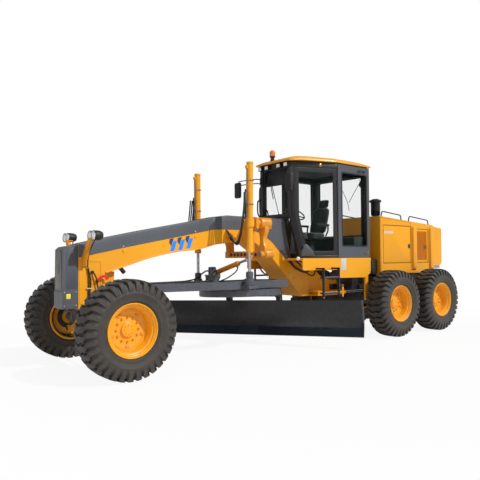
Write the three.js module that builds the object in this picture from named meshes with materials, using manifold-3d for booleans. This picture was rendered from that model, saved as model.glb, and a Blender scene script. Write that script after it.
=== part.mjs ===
// Motor grader, built as an assembly of separate pieces.
// Millimetres, +X forward, +Y to the machine's left, +Z up, ground at Z = 0.
// Stations along X are counted from the front axle (forward positive); the whole
// machine is then moved so that the origin lies halfway along it.
import * as THREE from 'three';
import { mergeVertices } from 'three/addons/utils/BufferGeometryUtils.js';
import Module from 'manifold-3d';

const wasm = await Module();
wasm.setup();

// ---------------------------------------------------------------- driving dimensions
const GAP = 0.5;                 // kept between pieces that rest on each other
const SIDES = 20;                // facets of a wheel

// wheels
const TYRE_RADIUS = 674;         // across the flats of the faceted ring
const TYRE_WIDTH = 445;
const RIM_BARREL_RADIUS = 330;
const RIM_FLANGE_RADIUS = 365;
const RIM_HALF_WIDTH = 190;
const RIM_WALL = 14;
const SIDEWALL_FOOT = RIM_FLANGE_RADIUS + 40;  // where the tyre leaves the rim's flange
const BEAD_GAP = 2;              // between tyre and rim
const HALF_TRACK = 1078;
const HUB_BACK = 40;             // back of the wheel disc behind the wheel's middle plane

// running gear
const MID_AXLE_X = -5920;
const REAR_AXLE_X = -7440;
const CASE_HALF_HEIGHT = 190;
const CASE_INNER_Y = 640;
const CASE_OUTER_Y = 830;
const AXLE_HOUSING_RADIUS = 170;

// front axle
const KINGPIN_Y = 880;
const LEAN_PIVOT_Z = TYRE_RADIUS - 174;
const LEAN_BAR_Z = LEAN_PIVOT_Z + 350;
const KINGPIN_RADIUS = 24;
const LEAN_PIN_RADIUS = 25;
const PIN_GAP = 2;
const STEER_ARM = 200;
const TIE_ROD_Z = TYRE_RADIUS - 99;
const TIE_BALL_RADIUS = 22;
const AXLE_PIVOT_Z = LEAN_PIVOT_Z + 235;
const AXLE_HALF_X = 80;

// frames
const NOSE_X = 550;
const NOSE_BACK_X = 320;
const NECK_HALF = 170;           // half width of the gooseneck's front
const FRAME_HALF = 260;          // half width behind the bend
const FRAME_BOTTOM = 860;
const HINGE_X = -5200;
const HINGE_PIN_RADIUS = 45;
const TONGUE_HALF = 110;
const TONGUE_Z = [945, 1055];
const HINGE_PLATE = 78;
const RAIL_Y = [180, 300];
const RAIL_Z = [1010, 1290];
const FRAME_TAIL_X = -8250;

// articulation cylinders
const ART_Y = 450;
const ART_Z = 915;
const ART_FRONT_X = -4350;
const ART_REAR_X = -5800;
const ART_BARREL_LENGTH = 780;
const ART_EYE_HALF = 20;
const LUG_PLATE = 23;
const ART_ROD_LENGTH = 1000;

// hood
const HOOD_FRONT_X = -6100;
const HOOD_REAR_X = -8150;
const HOOD_HALF = 640;
const HOOD_BOTTOM = 1240;
const HOOD_TOP_FRONT = 2490;
const HOOD_TOP_REAR = 2355;
const HOOD_WALL = 40;
const DOOR_GAP = 6;
const TAIL_X = -8700;

// cab
const CAB_FRONT_X = -3650;
const CAB_FRONT_HALF = 430;      // half width of the narrow front
const CAB_KNEE_Z = 2400;
const CAB_FLOOR_Z = 1600;
const CAB_TOE = 190;             // the front wall leans back by this below the knee
const CAB_REAR_X = -5570;
const CAB_TOP_Z = 3430;
const CAB_HALF = 770;           // half width behind the doors
const CAB_WALL = 60;
const B_POST_X = -4600;
const DOOR_BOTTOM = 1650;
const DOOR_TOP = 3330;
const QUARTER_Z = [1830, 3280];  // the side windows behind the doors
const PLATFORM_FRONT_X = -3600;
const BEACON_TOP = 3730;
const DOOR_POST = 90;
const SKIRT_HALF = 800;
const SKIRT_WALL = 30;
const LADDER_X = [-4370, -3955];
const GLASS = 6;

// blade gear
const BALL = [-280, 0, 1120];
const BALL_RADIUS = 55;
const DRAWBAR_ROLL = 1.9;        // degrees, left side up
const CIRCLE_BACK = 2500;        // circle centre behind the ball
const CIRCLE_RADIUS = 750;
const CIRCLE_TURN = 28;          // degrees, left end of the blade back
const BLADE_LENGTH = 3960;
const BLADE_REST_SHIFT = 165;    // the blade stands this far to the left on its slides
const SLIDE_LENGTH = 2660;       // of the two slide rails behind the blade
const BLADE_TOP = 820;
const BLADE_BOTTOM = 165;
const BLADE_THICK = 22;
const BLADE_RADIUS = 620;
const TILT_PIVOT = [-600, 420];  // behind the circle centre, and height above ground
const ARM_Y = [480, 560];
const LIFT_X = -2375;
const LIFT_PIVOT_Y = 776;
const LIFT_PIVOT_Z = 2200;
const LIFT_STUD_Y = 766;
const LIFT_STUD_Z = 1200;
const LIFT_BARREL_RADIUS = 55;
const LIFT_ROD_RADIUS = 27;
const STUD_RADIUS = 45;
const SHIFT_BASE = [-2400, -290, 1340];
const SHIFT_EYE = [-2600, 420, 1580];
const SHIFT_BARREL_LENGTH = 600;

const ORIGIN_X = -(TAIL_X + TYRE_RADIUS) / 2;
const DEG = Math.PI / 180;

// ---------------------------------------------------------------- materials
function paint(colour, roughness, metalness) {
  return new THREE.MeshStandardMaterial({ color: colour, roughness, metalness, flatShading: true });
}
const yellow = () => paint(0xf5a623, 0.4, 0.1);
const grey = () => paint(0x55595f, 0.5, 0.1);
const black = () => paint(0x1c1d1f, 0.6, 0.1);
const rubber = () => paint(0x2a2826, 0.9, 0);
const steel = () => paint(0x8d8f92, 0.35, 0.9);
const chrome = () => paint(0xc8cacc, 0.15, 1);
const bladeSteel = () => paint(0x2b2d33, 0.45, 0.4);
const cloth = () => paint(0x1b1c1e, 0.95, 0);
const glass = () => new THREE.MeshStandardMaterial({
  color: 0x7fa596, roughness: 0.05, metalness: 0, transparent: true, opacity: 0.35,
});

// ---------------------------------------------------------------- solids
function signedVolume(position, index) {
  const a = new THREE.Vector3();
  const b = new THREE.Vector3();
  const c = new THREE.Vector3();
  let volume = 0;
  for (let i = 0; i < index.length; i += 3) {
    a.fromBufferAttribute(position, index[i]);
    b.fromBufferAttribute(position, index[i + 1]);
    c.fromBufferAttribute(position, index[i + 2]);
    volume += a.dot(b.cross(c)) / 6;
  }
  return volume;
}

// A closed geometry as a solid: shared vertices merged, slivers at a lathe's poles dropped.
function solid(geometry) {
  const bare = geometry.clone();
  bare.deleteAttribute('normal');
  bare.deleteAttribute('uv');
  const merged = mergeVertices(bare, 1e-3);
  const index = [];
  const all = merged.index.array;
  for (let i = 0; i < all.length; i += 3) {
    const [p, q, r] = [all[i], all[i + 1], all[i + 2]];
    if (p !== q && q !== r && r !== p) index.push(p, q, r);
  }
  if (signedVolume(merged.attributes.position, index) < 0) index.reverse();
  return new wasm.Manifold(new wasm.Mesh({
    numProp: 3,
    vertProperties: new Float32Array(merged.attributes.position.array),
    triVerts: new Uint32Array(index),
  }));
}

function join(...parts) {
  return parts.flat().reduce((whole, part) => whole.add(part));
}

function cut(base, ...tools) {
  return tools.flat().reduce((left, tool) => left.subtract(tool), base);
}

function box([x0, x1], [y0, y1], [z0, z1]) {
  const size = new THREE.BoxGeometry(Math.abs(x1 - x0), Math.abs(y1 - y0), Math.abs(z1 - z0));
  return solid(size.translate((x0 + x1) / 2, (y0 + y1) / 2, (z0 + z1) / 2));
}

function outline(points) {
  return new THREE.Shape(points.map(([x, y]) => new THREE.Vector2(x, y)));
}

// An outline in X and Z, thick from y0 to y1.
function sidePrism(points, [y0, y1]) {
  const depth = Math.abs(y1 - y0);
  const shape = new THREE.ExtrudeGeometry(outline(points), { depth, bevelEnabled: false });
  return solid(shape.rotateX(Math.PI / 2).translate(0, Math.max(y0, y1), 0));
}

// An outline in X and Y, thick from z0 to z1.
function planPrism(points, [z0, z1]) {
  const shape = new THREE.ExtrudeGeometry(outline(points), { depth: z1 - z0, bevelEnabled: false });
  return solid(shape.translate(0, 0, z0));
}

// An outline in Y and Z, thick from x0 to x1.
function frontPrism(points, [x0, x1]) {
  const shape = new THREE.ExtrudeGeometry(outline(points), { depth: x1 - x0, bevelEnabled: false });
  const turn = new THREE.Matrix4().makeBasis(
    new THREE.Vector3(0, 1, 0), new THREE.Vector3(0, 0, 1), new THREE.Vector3(1, 0, 0));
  return solid(shape.applyMatrix4(turn).translate(x0, 0, 0));
}

function rod(from, to, radius, sides = 16, endRadius = radius) {
  const start = new THREE.Vector3(...from);
  const end = new THREE.Vector3(...to);
  const along = end.clone().sub(start);
  const shape = new THREE.CylinderGeometry(endRadius, radius, along.length(), sides);
  const turn = new THREE.Quaternion().setFromUnitVectors(
    new THREE.Vector3(0, 1, 0), along.clone().normalize());
  shape.applyQuaternion(turn);
  const middle = start.add(end).multiplyScalar(0.5);
  return solid(shape.translate(middle.x, middle.y, middle.z));
}

function ball([x, y, z], radius, sides = 12) {
  return solid(new THREE.SphereGeometry(radius, sides, sides / 2 + 2).translate(x, y, z));
}

// A profile of [radius, height] pairs turned about Y, with a flat facet at the bottom.
function wheelLathe(profile) {
  const shrink = 1 / Math.cos(Math.PI / SIDES);
  const points = profile.map(([r, y]) => new THREE.Vector2(r * shrink, y));
  return solid(new THREE.LatheGeometry(points, SIDES, Math.PI / SIDES));
}

// A profile of [radius, height] pairs turned about Z.
function uprightLathe(profile, sides = 20) {
  const points = profile.map(([r, z]) => new THREE.Vector2(r, z));
  return solid(new THREE.LatheGeometry(points, sides).rotateX(Math.PI / 2));
}

function piece(name, shape, material) {
  const data = shape.getMesh();
  const geometry = new THREE.BufferGeometry();
  geometry.setAttribute('position', new THREE.BufferAttribute(data.vertProperties, 3));
  geometry.setIndex(new THREE.BufferAttribute(data.triVerts, 1));
  geometry.computeVertexNormals();
  const mesh = new THREE.Mesh(geometry, material);
  mesh.name = name;
  return mesh;
}

// A moving body: a group at its pivot, named for its joint.
function body(name, parent, [x, y, z]) {
  const group = new THREE.Group();
  group.name = name;
  group.position.set(x, y, z);
  parent.add(group);
  return group;
}

const SIDE_NAMES = [['left', 1], ['right', -1]];
const both = (make) => SIDE_NAMES.map(([, s]) => make(s));

// ---------------------------------------------------------------- wheels
function tyreShape(s) {
  const hole = RIM_BARREL_RADIUS + BEAD_GAP;
  const bead = RIM_HALF_WIDTH - 21;
  const half = TYRE_WIDTH / 2;
  const R = TYRE_RADIUS;
  const side = [[hole, bead], [RIM_FLANGE_RADIUS + BEAD_GAP, bead], [SIDEWALL_FOOT, half - 14],
    [R * 0.76, half], [R * 0.93, half - 18], [R, half - 58]];
  const mirrored = side.map(([r, y]) => [r, -y]).reverse();
  const profile = [...side, ...mirrored, side[0]];
  return wheelLathe(profile.map(([r, y]) => [r, y * s]));
}

function rimShape(s) {
  const inner = RIM_BARREL_RADIUS - RIM_WALL;
  const lip = RIM_HALF_WIDTH - 19;
  const profile = [[0, 75], [80, 75], [80, 20], [205, 5], [inner, 5],
    [inner, RIM_HALF_WIDTH], [RIM_FLANGE_RADIUS, RIM_HALF_WIDTH], [RIM_FLANGE_RADIUS, lip],
    [RIM_BARREL_RADIUS, lip], [RIM_BARREL_RADIUS, -lip], [RIM_FLANGE_RADIUS, -lip],
    [RIM_FLANGE_RADIUS, -RIM_HALF_WIDTH], [inner, -RIM_HALF_WIDTH], [inner, -15],
    [150, -HUB_BACK], [0, -HUB_BACK]];
  return wheelLathe(profile.map(([r, y]) => [r, y * s]));
}

function addWheel(label, s, parent, place) {
  const wheel = body(`wheel_${label}`, parent, place);
  wheel.add(piece(`tyre_${label}`, tyreShape(s), rubber()));
  wheel.add(piece(`rim_${label}`, rimShape(s), yellow()));
}

// ---------------------------------------------------------------- rear machine
function rearFrameShape() {
  const rails = both((s) => box([FRAME_TAIL_X, -5600], [s * RAIL_Y[0], s * RAIL_Y[1]], RAIL_Z));
  const head = box([-5750, -5560], [-RAIL_Y[1], RAIL_Y[1]], [900, RAIL_Z[1]]);
  const crossX = [-6260, -7330, -8060];
  const crosses = crossX.map((x) => box([x - 50, x + 50],
    [-(HOOD_HALF - HOOD_WALL - GAP), HOOD_HALF - HOOD_WALL - GAP], [1190, RAIL_Z[1]]));
  const tail = box([-8420, FRAME_TAIL_X + 20], [-480, 480], [1000, 1340]);
  const middle = (MID_AXLE_X + REAR_AXLE_X) / 2;
  const saddles = both((s) => box([middle - 210, middle + 210],
    [s * RAIL_Y[0], s * RAIL_Y[1]], [TYRE_RADIUS + 206, RAIL_Z[0] + 20]));
  const tongue = box([-5600, HINGE_X], [-TONGUE_HALF, TONGUE_HALF], TONGUE_Z);
  const nose = rod([HINGE_X, 0, TONGUE_Z[0]], [HINGE_X, 0, TONGUE_Z[1]], TONGUE_HALF, 24);
  const hole = rod([HINGE_X, 0, 800], [HINGE_X, 0, 1200], HINGE_PIN_RADIUS + PIN_GAP, 20);
  const gap = ART_EYE_HALF + PIN_GAP;
  const clevis = both((s) => join(
    box([ART_REAR_X - 60, ART_REAR_X + 60], [s * 280, s * (ART_Y + 60)],
      [ART_Z - gap - LUG_PLATE, ART_Z - gap]),
    box([ART_REAR_X - 60, ART_REAR_X + 60], [s * 280, s * (ART_Y + 60)],
      [ART_Z + gap, ART_Z + gap + LUG_PLATE]),
    box([ART_REAR_X - 60, ART_REAR_X + 60], [s * (RAIL_Y[1] - 20), s * 365],
      [ART_Z - gap - LUG_PLATE, RAIL_Z[0] + 20])));
  return cut(join(rails, head, crosses, tail, saddles, tongue, nose, clevis), hole);
}

function tandemShape() {
  const middle = (MID_AXLE_X + REAR_AXLE_X) / 2;
  const housing = rod([middle, -700, TYRE_RADIUS + 30], [middle, 700, TYRE_RADIUS + 30],
    AXLE_HOUSING_RADIUS, 20);
  const pads = both((s) => box([middle - 190, middle + 190],
    [s * RAIL_Y[0], s * RAIL_Y[1]], [TYRE_RADIUS, TYRE_RADIUS + 206 - GAP]));
  const cases = both((s) => join(
    box([REAR_AXLE_X, MID_AXLE_X], [s * CASE_INNER_Y, s * CASE_OUTER_Y],
      [TYRE_RADIUS - CASE_HALF_HEIGHT, TYRE_RADIUS + CASE_HALF_HEIGHT]),
    ...[MID_AXLE_X, REAR_AXLE_X].map((x) => join(
      rod([x, s * CASE_INNER_Y, TYRE_RADIUS], [x, s * CASE_OUTER_Y, TYRE_RADIUS],
        CASE_HALF_HEIGHT, 20),
      rod([x, s * (CASE_INNER_Y + 20), TYRE_RADIUS],
        [x, s * (HALF_TRACK - HUB_BACK - 1), TYRE_RADIUS], 115, 20)))));
  return join(housing, pads, cases);
}

function hoodTopAt(x) {
  const t = (x - HOOD_FRONT_X) / (HOOD_REAR_X - HOOD_FRONT_X);
  return HOOD_TOP_FRONT + (HOOD_TOP_REAR - HOOD_TOP_FRONT) * t;
}

const HOOD_DOORS = [
  { label: 'front', x: [-7220, -6210], z: [1480, 2300] },
  { label: 'rear', x: [-7915, -7435], z: [1480, 2250] },
];

function hoodShape() {
  const shell = sidePrism([[HOOD_FRONT_X, HOOD_BOTTOM], [HOOD_FRONT_X, HOOD_TOP_FRONT],
    [HOOD_REAR_X, HOOD_TOP_REAR], [HOOD_REAR_X, HOOD_BOTTOM]], [-HOOD_HALF, HOOD_HALF]);
  const w = HOOD_WALL;
  const inside = sidePrism([[HOOD_FRONT_X - w, HOOD_BOTTOM - 50],
    [HOOD_FRONT_X - w, HOOD_TOP_FRONT - w], [HOOD_REAR_X - 50, HOOD_TOP_REAR - w - 3],
    [HOOD_REAR_X - 50, HOOD_BOTTOM - 50]], [-HOOD_HALF + w, HOOD_HALF - w]);
  const openings = both((s) => HOOD_DOORS.map((d) =>
    box(d.x, [s * (HOOD_HALF - w - 30), s * (HOOD_HALF + 30)], d.z)));
  const ribs = both((s) => [[-7430, -7240], [-8120, -7940]].map(([x0, x1]) =>
    planPrism([[x0, s * (HOOD_HALF - 10)], [x0 + 25, s * (HOOD_HALF + 32)],
      [x1 - 25, s * (HOOD_HALF + 32)], [x1, s * (HOOD_HALF - 10)]], [1330, 2290])));
  const railSlot = box([HOOD_FRONT_X - 60, HOOD_FRONT_X + 20],
    [-RAIL_Y[1] - GAP, RAIL_Y[1] + GAP], [HOOD_BOTTOM - 50, RAIL_Z[1] + GAP]);
  return cut(join(shell, ...ribs.flat()), inside, railSlot, ...openings.flat());
}

function hoodDoorShape(d, s) {
  const [x0, x1] = d.x;
  const width = x1 - x0 - 2 * DOOR_GAP;
  return box([-width, 0], [s * -(HOOD_WALL - 4), s * -2],
    [d.z[0] + DOOR_GAP, d.z[1] - DOOR_GAP]);
}

function radiatorShape() {
  const x = HOOD_REAR_X - GAP;
  const side = sidePrism([[x, 1345], [x, 2335], [-8590, 2300], [TAIL_X, 2235],
    [TAIL_X, 1640], [-8570, 1440], [-8430, 1345]], [-700, 700]);
  const plan = planPrism([[x, -620], [-8600, -585], [TAIL_X, -500], [TAIL_X, 500],
    [-8600, 585], [x, 620]], [1300, 2400]);
  return side.intersect(plan);
}

function precleanerShape() {
  const base = hoodTopAt(-6300) + 6;
  const profile = [[0, base], [70, base], [70, base + 120], [105, base + 150],
    [105, base + 330], [130, base + 340], [130, base + 370], [60, base + 405], [0, base + 405]];
  const placed = profile.map(([r, z]) => new THREE.Vector2(r, z));
  return solid(new THREE.LatheGeometry(placed, 20).rotateX(Math.PI / 2)
    .translate(-6300, 375, 0));
}

function addRearMachine(machine) {
  machine.add(piece('rear_frame', rearFrameShape(), black()));
  machine.add(piece('engine_block',
    box([-7900, -6480], [-330, 330], [RAIL_Z[1] + GAP, 2050]), steel()));
  machine.add(piece('hood', hoodShape(), yellow()));
  machine.add(piece('radiator_housing', radiatorShape(), yellow()));
  machine.add(piece('air_precleaner', precleanerShape(), black()));
  machine.add(piece('tandem_axle', tandemShape(), grey()));
  for (const [side, s] of SIDE_NAMES) {
    for (const d of HOOD_DOORS) {
      const door = body(`hood_door_${d.label}_${side}`, machine,
        [d.x[1] - DOOR_GAP, s * HOOD_HALF, 0]);
      door.add(piece(`hood_door_${d.label}_${side}`, hoodDoorShape(d, s), yellow()));
    }
    addWheel(`mid_${side}`, s, machine, [MID_AXLE_X, s * HALF_TRACK, TYRE_RADIUS]);
    addWheel(`rear_${side}`, s, machine, [REAR_AXLE_X, s * HALF_TRACK, TYRE_RADIUS]);
  }
}

// ---------------------------------------------------------------- front frame
function neckShape() {
  const top = [[NOSE_BACK_X - 2, 1825], [-50, 1910], [-730, 2050], [-1680, 2230], [-2010, 2300],
    [-2280, 2350], [CAB_FRONT_X + 12, 2340]];
  const back = [[cabFrontAt(1610) + 22, 1610], [cabFrontAt(1550) + 2, 1550], [-4300, 1500],
    [-4700, 1200], [-5010, 1140], [-5010, FRAME_BOTTOM]];
  const under = [[-4060, FRAME_BOTTOM], [-3670, 1280], [-3290, 1660], [-2900, 1900],
    [-2360, 1880], [-2010, 1840], [-1730, 1760], [-1330, 1720], [-860, 1630], [-90, 1400],
    [-100, 900], [NOSE_BACK_X - 2, 900]];
  const side = sidePrism([...top, ...back, ...under], [-400, 400]);
  const plan = planPrism([[600, -NECK_HALF], [600, NECK_HALF], [-1750, NECK_HALF],
    [-2000, FRAME_HALF], [-4900, FRAME_HALF], [-5020, 150], [-5020, -150],
    [-4900, -FRAME_HALF], [-2000, -FRAME_HALF], [-1750, -NECK_HALF]], [500, 2600]);
  return side.intersect(plan);
}

function frontFrameShape() {
  const low = [FRAME_BOTTOM, FRAME_BOTTOM + HINGE_PLATE];
  const high = [TONGUE_Z[1] + 7, TONGUE_Z[1] + 7 + HINGE_PLATE];
  const plates = [low, high].map((z) => join(
    box([HINGE_X, -5000], [-150, 150], z),
    rod([HINGE_X, 0, z[0]], [HINGE_X, 0, z[1]], 150, 28)));
  const pin = rod([HINGE_X, 0, low[0] + 5], [HINGE_X, 0, high[1] - 5], HINGE_PIN_RADIUS, 20);
  const gap = ART_EYE_HALF + PIN_GAP;
  const lugs = both((s) => [ART_Z - gap - LUG_PLATE, ART_Z + gap].map((z) =>
    box([ART_FRONT_X - 60, ART_FRONT_X + 60], [s * (FRAME_HALF - 30), s * (ART_Y + 60)],
      [z, z + LUG_PLATE])));
  const ears = [[90, 150], [-150, -90]].map((x) =>
    box(x, [-120, 120], [AXLE_PIVOT_Z - 55, 920]));
  const axlePin = rod([-150, 0, AXLE_PIVOT_Z], [150, 0, AXLE_PIVOT_Z], 40, 16);
  const socket = cut(
    box([BALL[0] - 10, -90], [-48, 48], [1040, 1420]), ball(BALL, BALL_RADIUS + 3));
  return join(neckShape(), plates, pin, ...lugs.flat(), ears, axlePin, socket);
}

function noseShape() {
  const x0 = NOSE_BACK_X - GAP;
  return sidePrism([[x0, 905], [x0, 1820], [NOSE_X - 60, 1790], [NOSE_X - 12, 1750],
    [NOSE_X - 8, 1160], [NOSE_X, 1150], [NOSE_X, 905]], [-NECK_HALF, NECK_HALF]);
}

function saddleShape() {
  const z = [2110, 2290];
  const arms = both((s) => join(
    box([-2860, -2660], [s * (FRAME_HALF + PIN_GAP), s * 780], z),
    box([-2680, LIFT_X - 90], [s * 600, s * 780], z),
    box([LIFT_X - 150, LIFT_X - 90], [s * 640, s * (LIFT_PIVOT_Y + 70)], z),
    box([-2850, -2710], [s * (FRAME_HALF + PIN_GAP), s * (FRAME_HALF + 75)], [1610, z[1] - 10])));
  const bar = box([-2840, -2740], [-400, 800], [1610, 1730]);
  const lug = box([-2750, SHIFT_EYE[0] - 52], [SHIFT_EYE[1] - 50, SHIFT_EYE[1] + 50], [1560, 1660]);
  return join(arms, bar, lug);
}

function frontAxleShape() {
  const pin = LEAN_PIVOT_Z;
  const middleTop = AXLE_PIVOT_Z + 55;
  const top = [[0, middleTop], [130, middleTop], [450, pin + 220], [640, pin + 100],
    [745, pin + 52]];
  const low = [[745, pin - 48], [640, pin - 30], [300, pin + 60], [0, pin + 60]];
  const halfBeams = both((s) => frontPrism(
    [...top, ...low].map(([y, z]) => [s * y, z]), [-AXLE_HALF_X, AXLE_HALF_X]));
  const ears = both((s) => [[64, 92], [-92, -64]].map((x) => join(
    frontPrism([[s * 640, pin + 80], [s * 745, pin + 52], [s * KINGPIN_Y, pin + 50],
      [s * KINGPIN_Y, pin - 50], [s * 745, pin - 48], [s * 640, pin - 20]], x),
    rod([x[0], s * KINGPIN_Y, LEAN_PIVOT_Z], [x[1], s * KINGPIN_Y, LEAN_PIVOT_Z], 50, 16))));
  const pins = both((s) => rod([-92, s * KINGPIN_Y, LEAN_PIVOT_Z],
    [92, s * KINGPIN_Y, LEAN_PIVOT_Z], LEAN_PIN_RADIUS, 16));
  const middle = box([-60, 60], [-10, 10], [pin + 100, middleTop - 10]);
  const hole = rod([-200, 0, AXLE_PIVOT_Z], [200, 0, AXLE_PIVOT_Z], 40 + PIN_GAP, 16);
  return cut(join(halfBeams, middle, ...ears.flat(), pins), hole);
}

function leanBracketShape(s) {
  const king = TYRE_RADIUS - LEAN_PIVOT_Z;
  const pinZ = LEAN_BAR_Z - LEAN_PIVOT_Z;
  const upper = box([-50, 50], [s * -95, s * 50], [king + 95, king + 135]);
  const lower = box([-50, 50], [s * -95, s * 50], [king - 135, king - 95]);
  const web = box([-30, 30], [s * -95, s * -55], [king - 135, king + 135]);
  const lug = join(rod([-60, 0, 0], [60, 0, 0], 45, 16), box([-60, 60], [-40, 40], [0, 60]));
  const top = box([-20, 20], [-32, 32], [king + 130, pinZ + 30]);
  const pin = rod([-15, 0, pinZ], [84, 0, pinZ], 18, 14);
  const pivotHole = rod([-200, 0, 0], [200, 0, 0], LEAN_PIN_RADIUS + PIN_GAP, 16);
  const kingHole = rod([0, 0, king - 140], [0, 0, king + 132], KINGPIN_RADIUS + PIN_GAP, 16);
  return cut(join(upper, lower, web, lug, top, pin), pivotHole,
    cut(kingHole, box([-200, 200], [-200, 200], [-50, king - 136])));
}

function knuckleShape(s) {
  const core = rod([0, 0, -88], [0, 0, 88], 52, 18);
  const kingpin = rod([0, 0, -130], [0, 0, 130], KINGPIN_RADIUS, 16);
  const spindle = rod([0, 0, 0], [0, s * (HALF_TRACK - HUB_BACK - 1 - KINGPIN_Y), 0], 65, 18);
  const arm = join(
    box([-160, -38], [s * 10, s * 60], [-54, -24]),
    box([-STEER_ARM - 20, -150], [s * -28, s * 60], [-54, -24]));
  const parts = [core, kingpin, spindle, arm];
  if (s < 0) {
    const drop = TIE_ROD_Z - TYRE_RADIUS;
    parts.push(ball([-STEER_ARM, 0, drop], TIE_BALL_RADIUS, 10));
    parts.push(rod([-STEER_ARM, 0, drop], [-STEER_ARM, 0, -40], 10, 12));
  }
  return join(parts);
}

function leanBarShape() {
  const span = 2 * KINGPIN_Y;
  const bar = box([54, 80], [-span - 5, 5], [-25, 25]);
  const eyes = [0, -span].map((y) => rod([54, y, 0], [80, y, 0], 34, 16));
  const holes = [0, -span].map((y) => rod([0, y, 0], [90, y, 0], 18 + PIN_GAP, 14));
  return cut(join(bar, eyes), ...holes);
}

function tieRodShape() {
  const span = 2 * KINGPIN_Y;
  const bar = rod([0, -36, 0], [0, -span + 36, 0], 20, 12);
  const eyes = [0, -span].map((y) => rod([0, y, -13], [0, y, 13], 42, 18));
  const holes = [0, -span].map((y) =>
    rod([0, y, -60], [0, y, 60], TIE_BALL_RADIUS + PIN_GAP, 16));
  return cut(join(bar, eyes), ...holes);
}

function tieBallShape() {
  const armBottom = TYRE_RADIUS - 54 - TIE_ROD_Z;
  return join(ball([0, 0, 0], TIE_BALL_RADIUS, 10), rod([0, 0, 0], [0, 0, armBottom - 1], 10, 12));
}

function addFrontWheels(front) {
  const kingHeight = TYRE_RADIUS - LEAN_PIVOT_Z;
  for (const [side, s] of SIDE_NAMES) {
    const lean = body(`lean_${side}`, front, [0, s * KINGPIN_Y, LEAN_PIVOT_Z]);
    lean.add(piece(`lean_bracket_${side}`, leanBracketShape(s), grey()));
    const steer = body(`steer_${side}`, lean, [0, 0, kingHeight]);
    steer.add(piece(`knuckle_${side}`, knuckleShape(s), grey()));
    addWheel(`front_${side}`, s, steer, [0, s * (HALF_TRACK - KINGPIN_Y), 0]);
    if (s > 0) {
      const bar = body('lean_bar', lean, [0, 0, LEAN_BAR_Z - LEAN_PIVOT_Z]);
      bar.add(piece('lean_bar', leanBarShape(), yellow()));
      const stud = body('tie_ball', steer, [-STEER_ARM, 0, TIE_ROD_Z - TYRE_RADIUS]);
      stud.add(piece('tie_rod_ball', tieBallShape(), steel()));
      const tie = body('tie_rod', stud, [0, 0, 0]);
      tie.add(piece('tie_rod', tieRodShape(), black()));
    }
  }
}

function headlampShape(s) {
  const arm = frontPrism([[s * (NECK_HALF + GAP), 1500], [s * (NECK_HALF + GAP), 1630],
    [s * 405, 1915], [s * 470, 1915], [s * 470, 1880], [s * 235, 1500]], [225, 285]);
  const lamps = [-58, 58].map((offset) =>
    rod([150, s * 440 + offset, 1950], [300, s * 440 + offset, 1950], 64, 16));
  const bridge = box([190, 260], [s * 440 - 60, s * 440 + 60], [1895, 1960]);
  return join(arm, lamps, bridge);
}

// ---------------------------------------------------------------- cab
function cabFrontAt(z) {
  const below = Math.max(0, CAB_KNEE_Z - z);
  return CAB_FRONT_X - CAB_TOE * below / (CAB_KNEE_Z - CAB_FLOOR_Z);
}

// The cab seen from the side, drawn in from its outer faces by an inset.
function cabSide(inset, bottom, top) {
  return [[cabFrontAt(bottom) - inset, bottom], [CAB_FRONT_X - inset, CAB_KNEE_Z],
    [CAB_FRONT_X - inset, top], [CAB_REAR_X + inset, top], [CAB_REAR_X + inset, bottom]];
}

// The cab seen from above, drawn in by an inset: narrow in front, widening to the door posts.
function cabPlan(inset) {
  const slope = (CAB_HALF - CAB_FRONT_HALF) / (CAB_FRONT_X - B_POST_X);
  const drawn = inset * Math.hypot(1, slope);
  const half = CAB_HALF - inset;
  const knee = CAB_FRONT_X - (half + drawn - CAB_FRONT_HALF) / slope;
  const ahead = [CAB_FRONT_X + 100, CAB_FRONT_HALF - drawn - 100 * slope];
  const side = [ahead, [knee, half], [CAB_REAR_X - 100, half]];
  return [...side, ...side.map(([x, y]) => [x, -y]).reverse()];
}

function cabBlock(inset, bottom, top) {
  return sidePrism(cabSide(inset, bottom, top), [-CAB_HALF - 50, CAB_HALF + 50])
    .intersect(planPrism(cabPlan(inset), [bottom - 50, top + 50]));
}

function doorSide(inset) {
  const bottom = DOOR_BOTTOM + inset;
  const front = DOOR_POST + inset;
  return [[cabFrontAt(bottom) - front, bottom], [CAB_FRONT_X - front, CAB_KNEE_Z],
    [CAB_FRONT_X - front, DOOR_TOP - inset], [B_POST_X + inset, DOOR_TOP - inset],
    [B_POST_X + inset, bottom]];
}

const SIDE_TURN = Math.atan2(CAB_HALF - CAB_FRONT_HALF, CAB_FRONT_X - B_POST_X);

// A side outline cut square through the slanted front part of a side wall, between two depths.
function wallPrism(points, s, from, to) {
  const along = points.map(([x, z]) => [(x - B_POST_X) / Math.cos(SIDE_TURN), z]);
  return sidePrism(along, [-s * from, -s * to].sort((a, b) => a - b))
    .rotate([0, 0, -s * SIDE_TURN / DEG]).translate([B_POST_X, s * CAB_HALF, 0]);
}

function cabFrameShape() {
  const shell = cabBlock(0, CAB_FLOOR_Z + GAP, CAB_TOP_Z);
  const inside = cabBlock(CAB_WALL, CAB_FLOOR_Z - 100, CAB_TOP_Z + 60);
  const doors = both((s) => wallPrism(doorSide(0), s, -20, CAB_WALL + 20));
  const quarter = both((s) => box([CAB_REAR_X + 90, B_POST_X - 110],
    [s * (CAB_HALF - CAB_WALL - 20), s * (CAB_HALF + 20)], QUARTER_Z));
  const wide = [-(CAB_FRONT_HALF - 70), CAB_FRONT_HALF - 70];
  const screen = box([CAB_FRONT_X - 200, CAB_FRONT_X + 20], wide, [CAB_KNEE_Z + 40, DOOR_TOP]);
  const low = box([CAB_FRONT_X - 400, CAB_FRONT_X + 20], wide.map((y) => y * 1.08),
    [1690, CAB_KNEE_Z - 40]);
  const back = box([CAB_REAR_X - 20, CAB_REAR_X + 120], [-600, 600], [2050, QUARTER_Z[1]]);
  return cut(shell, inside, doors, quarter, screen, low, back);
}

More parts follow.
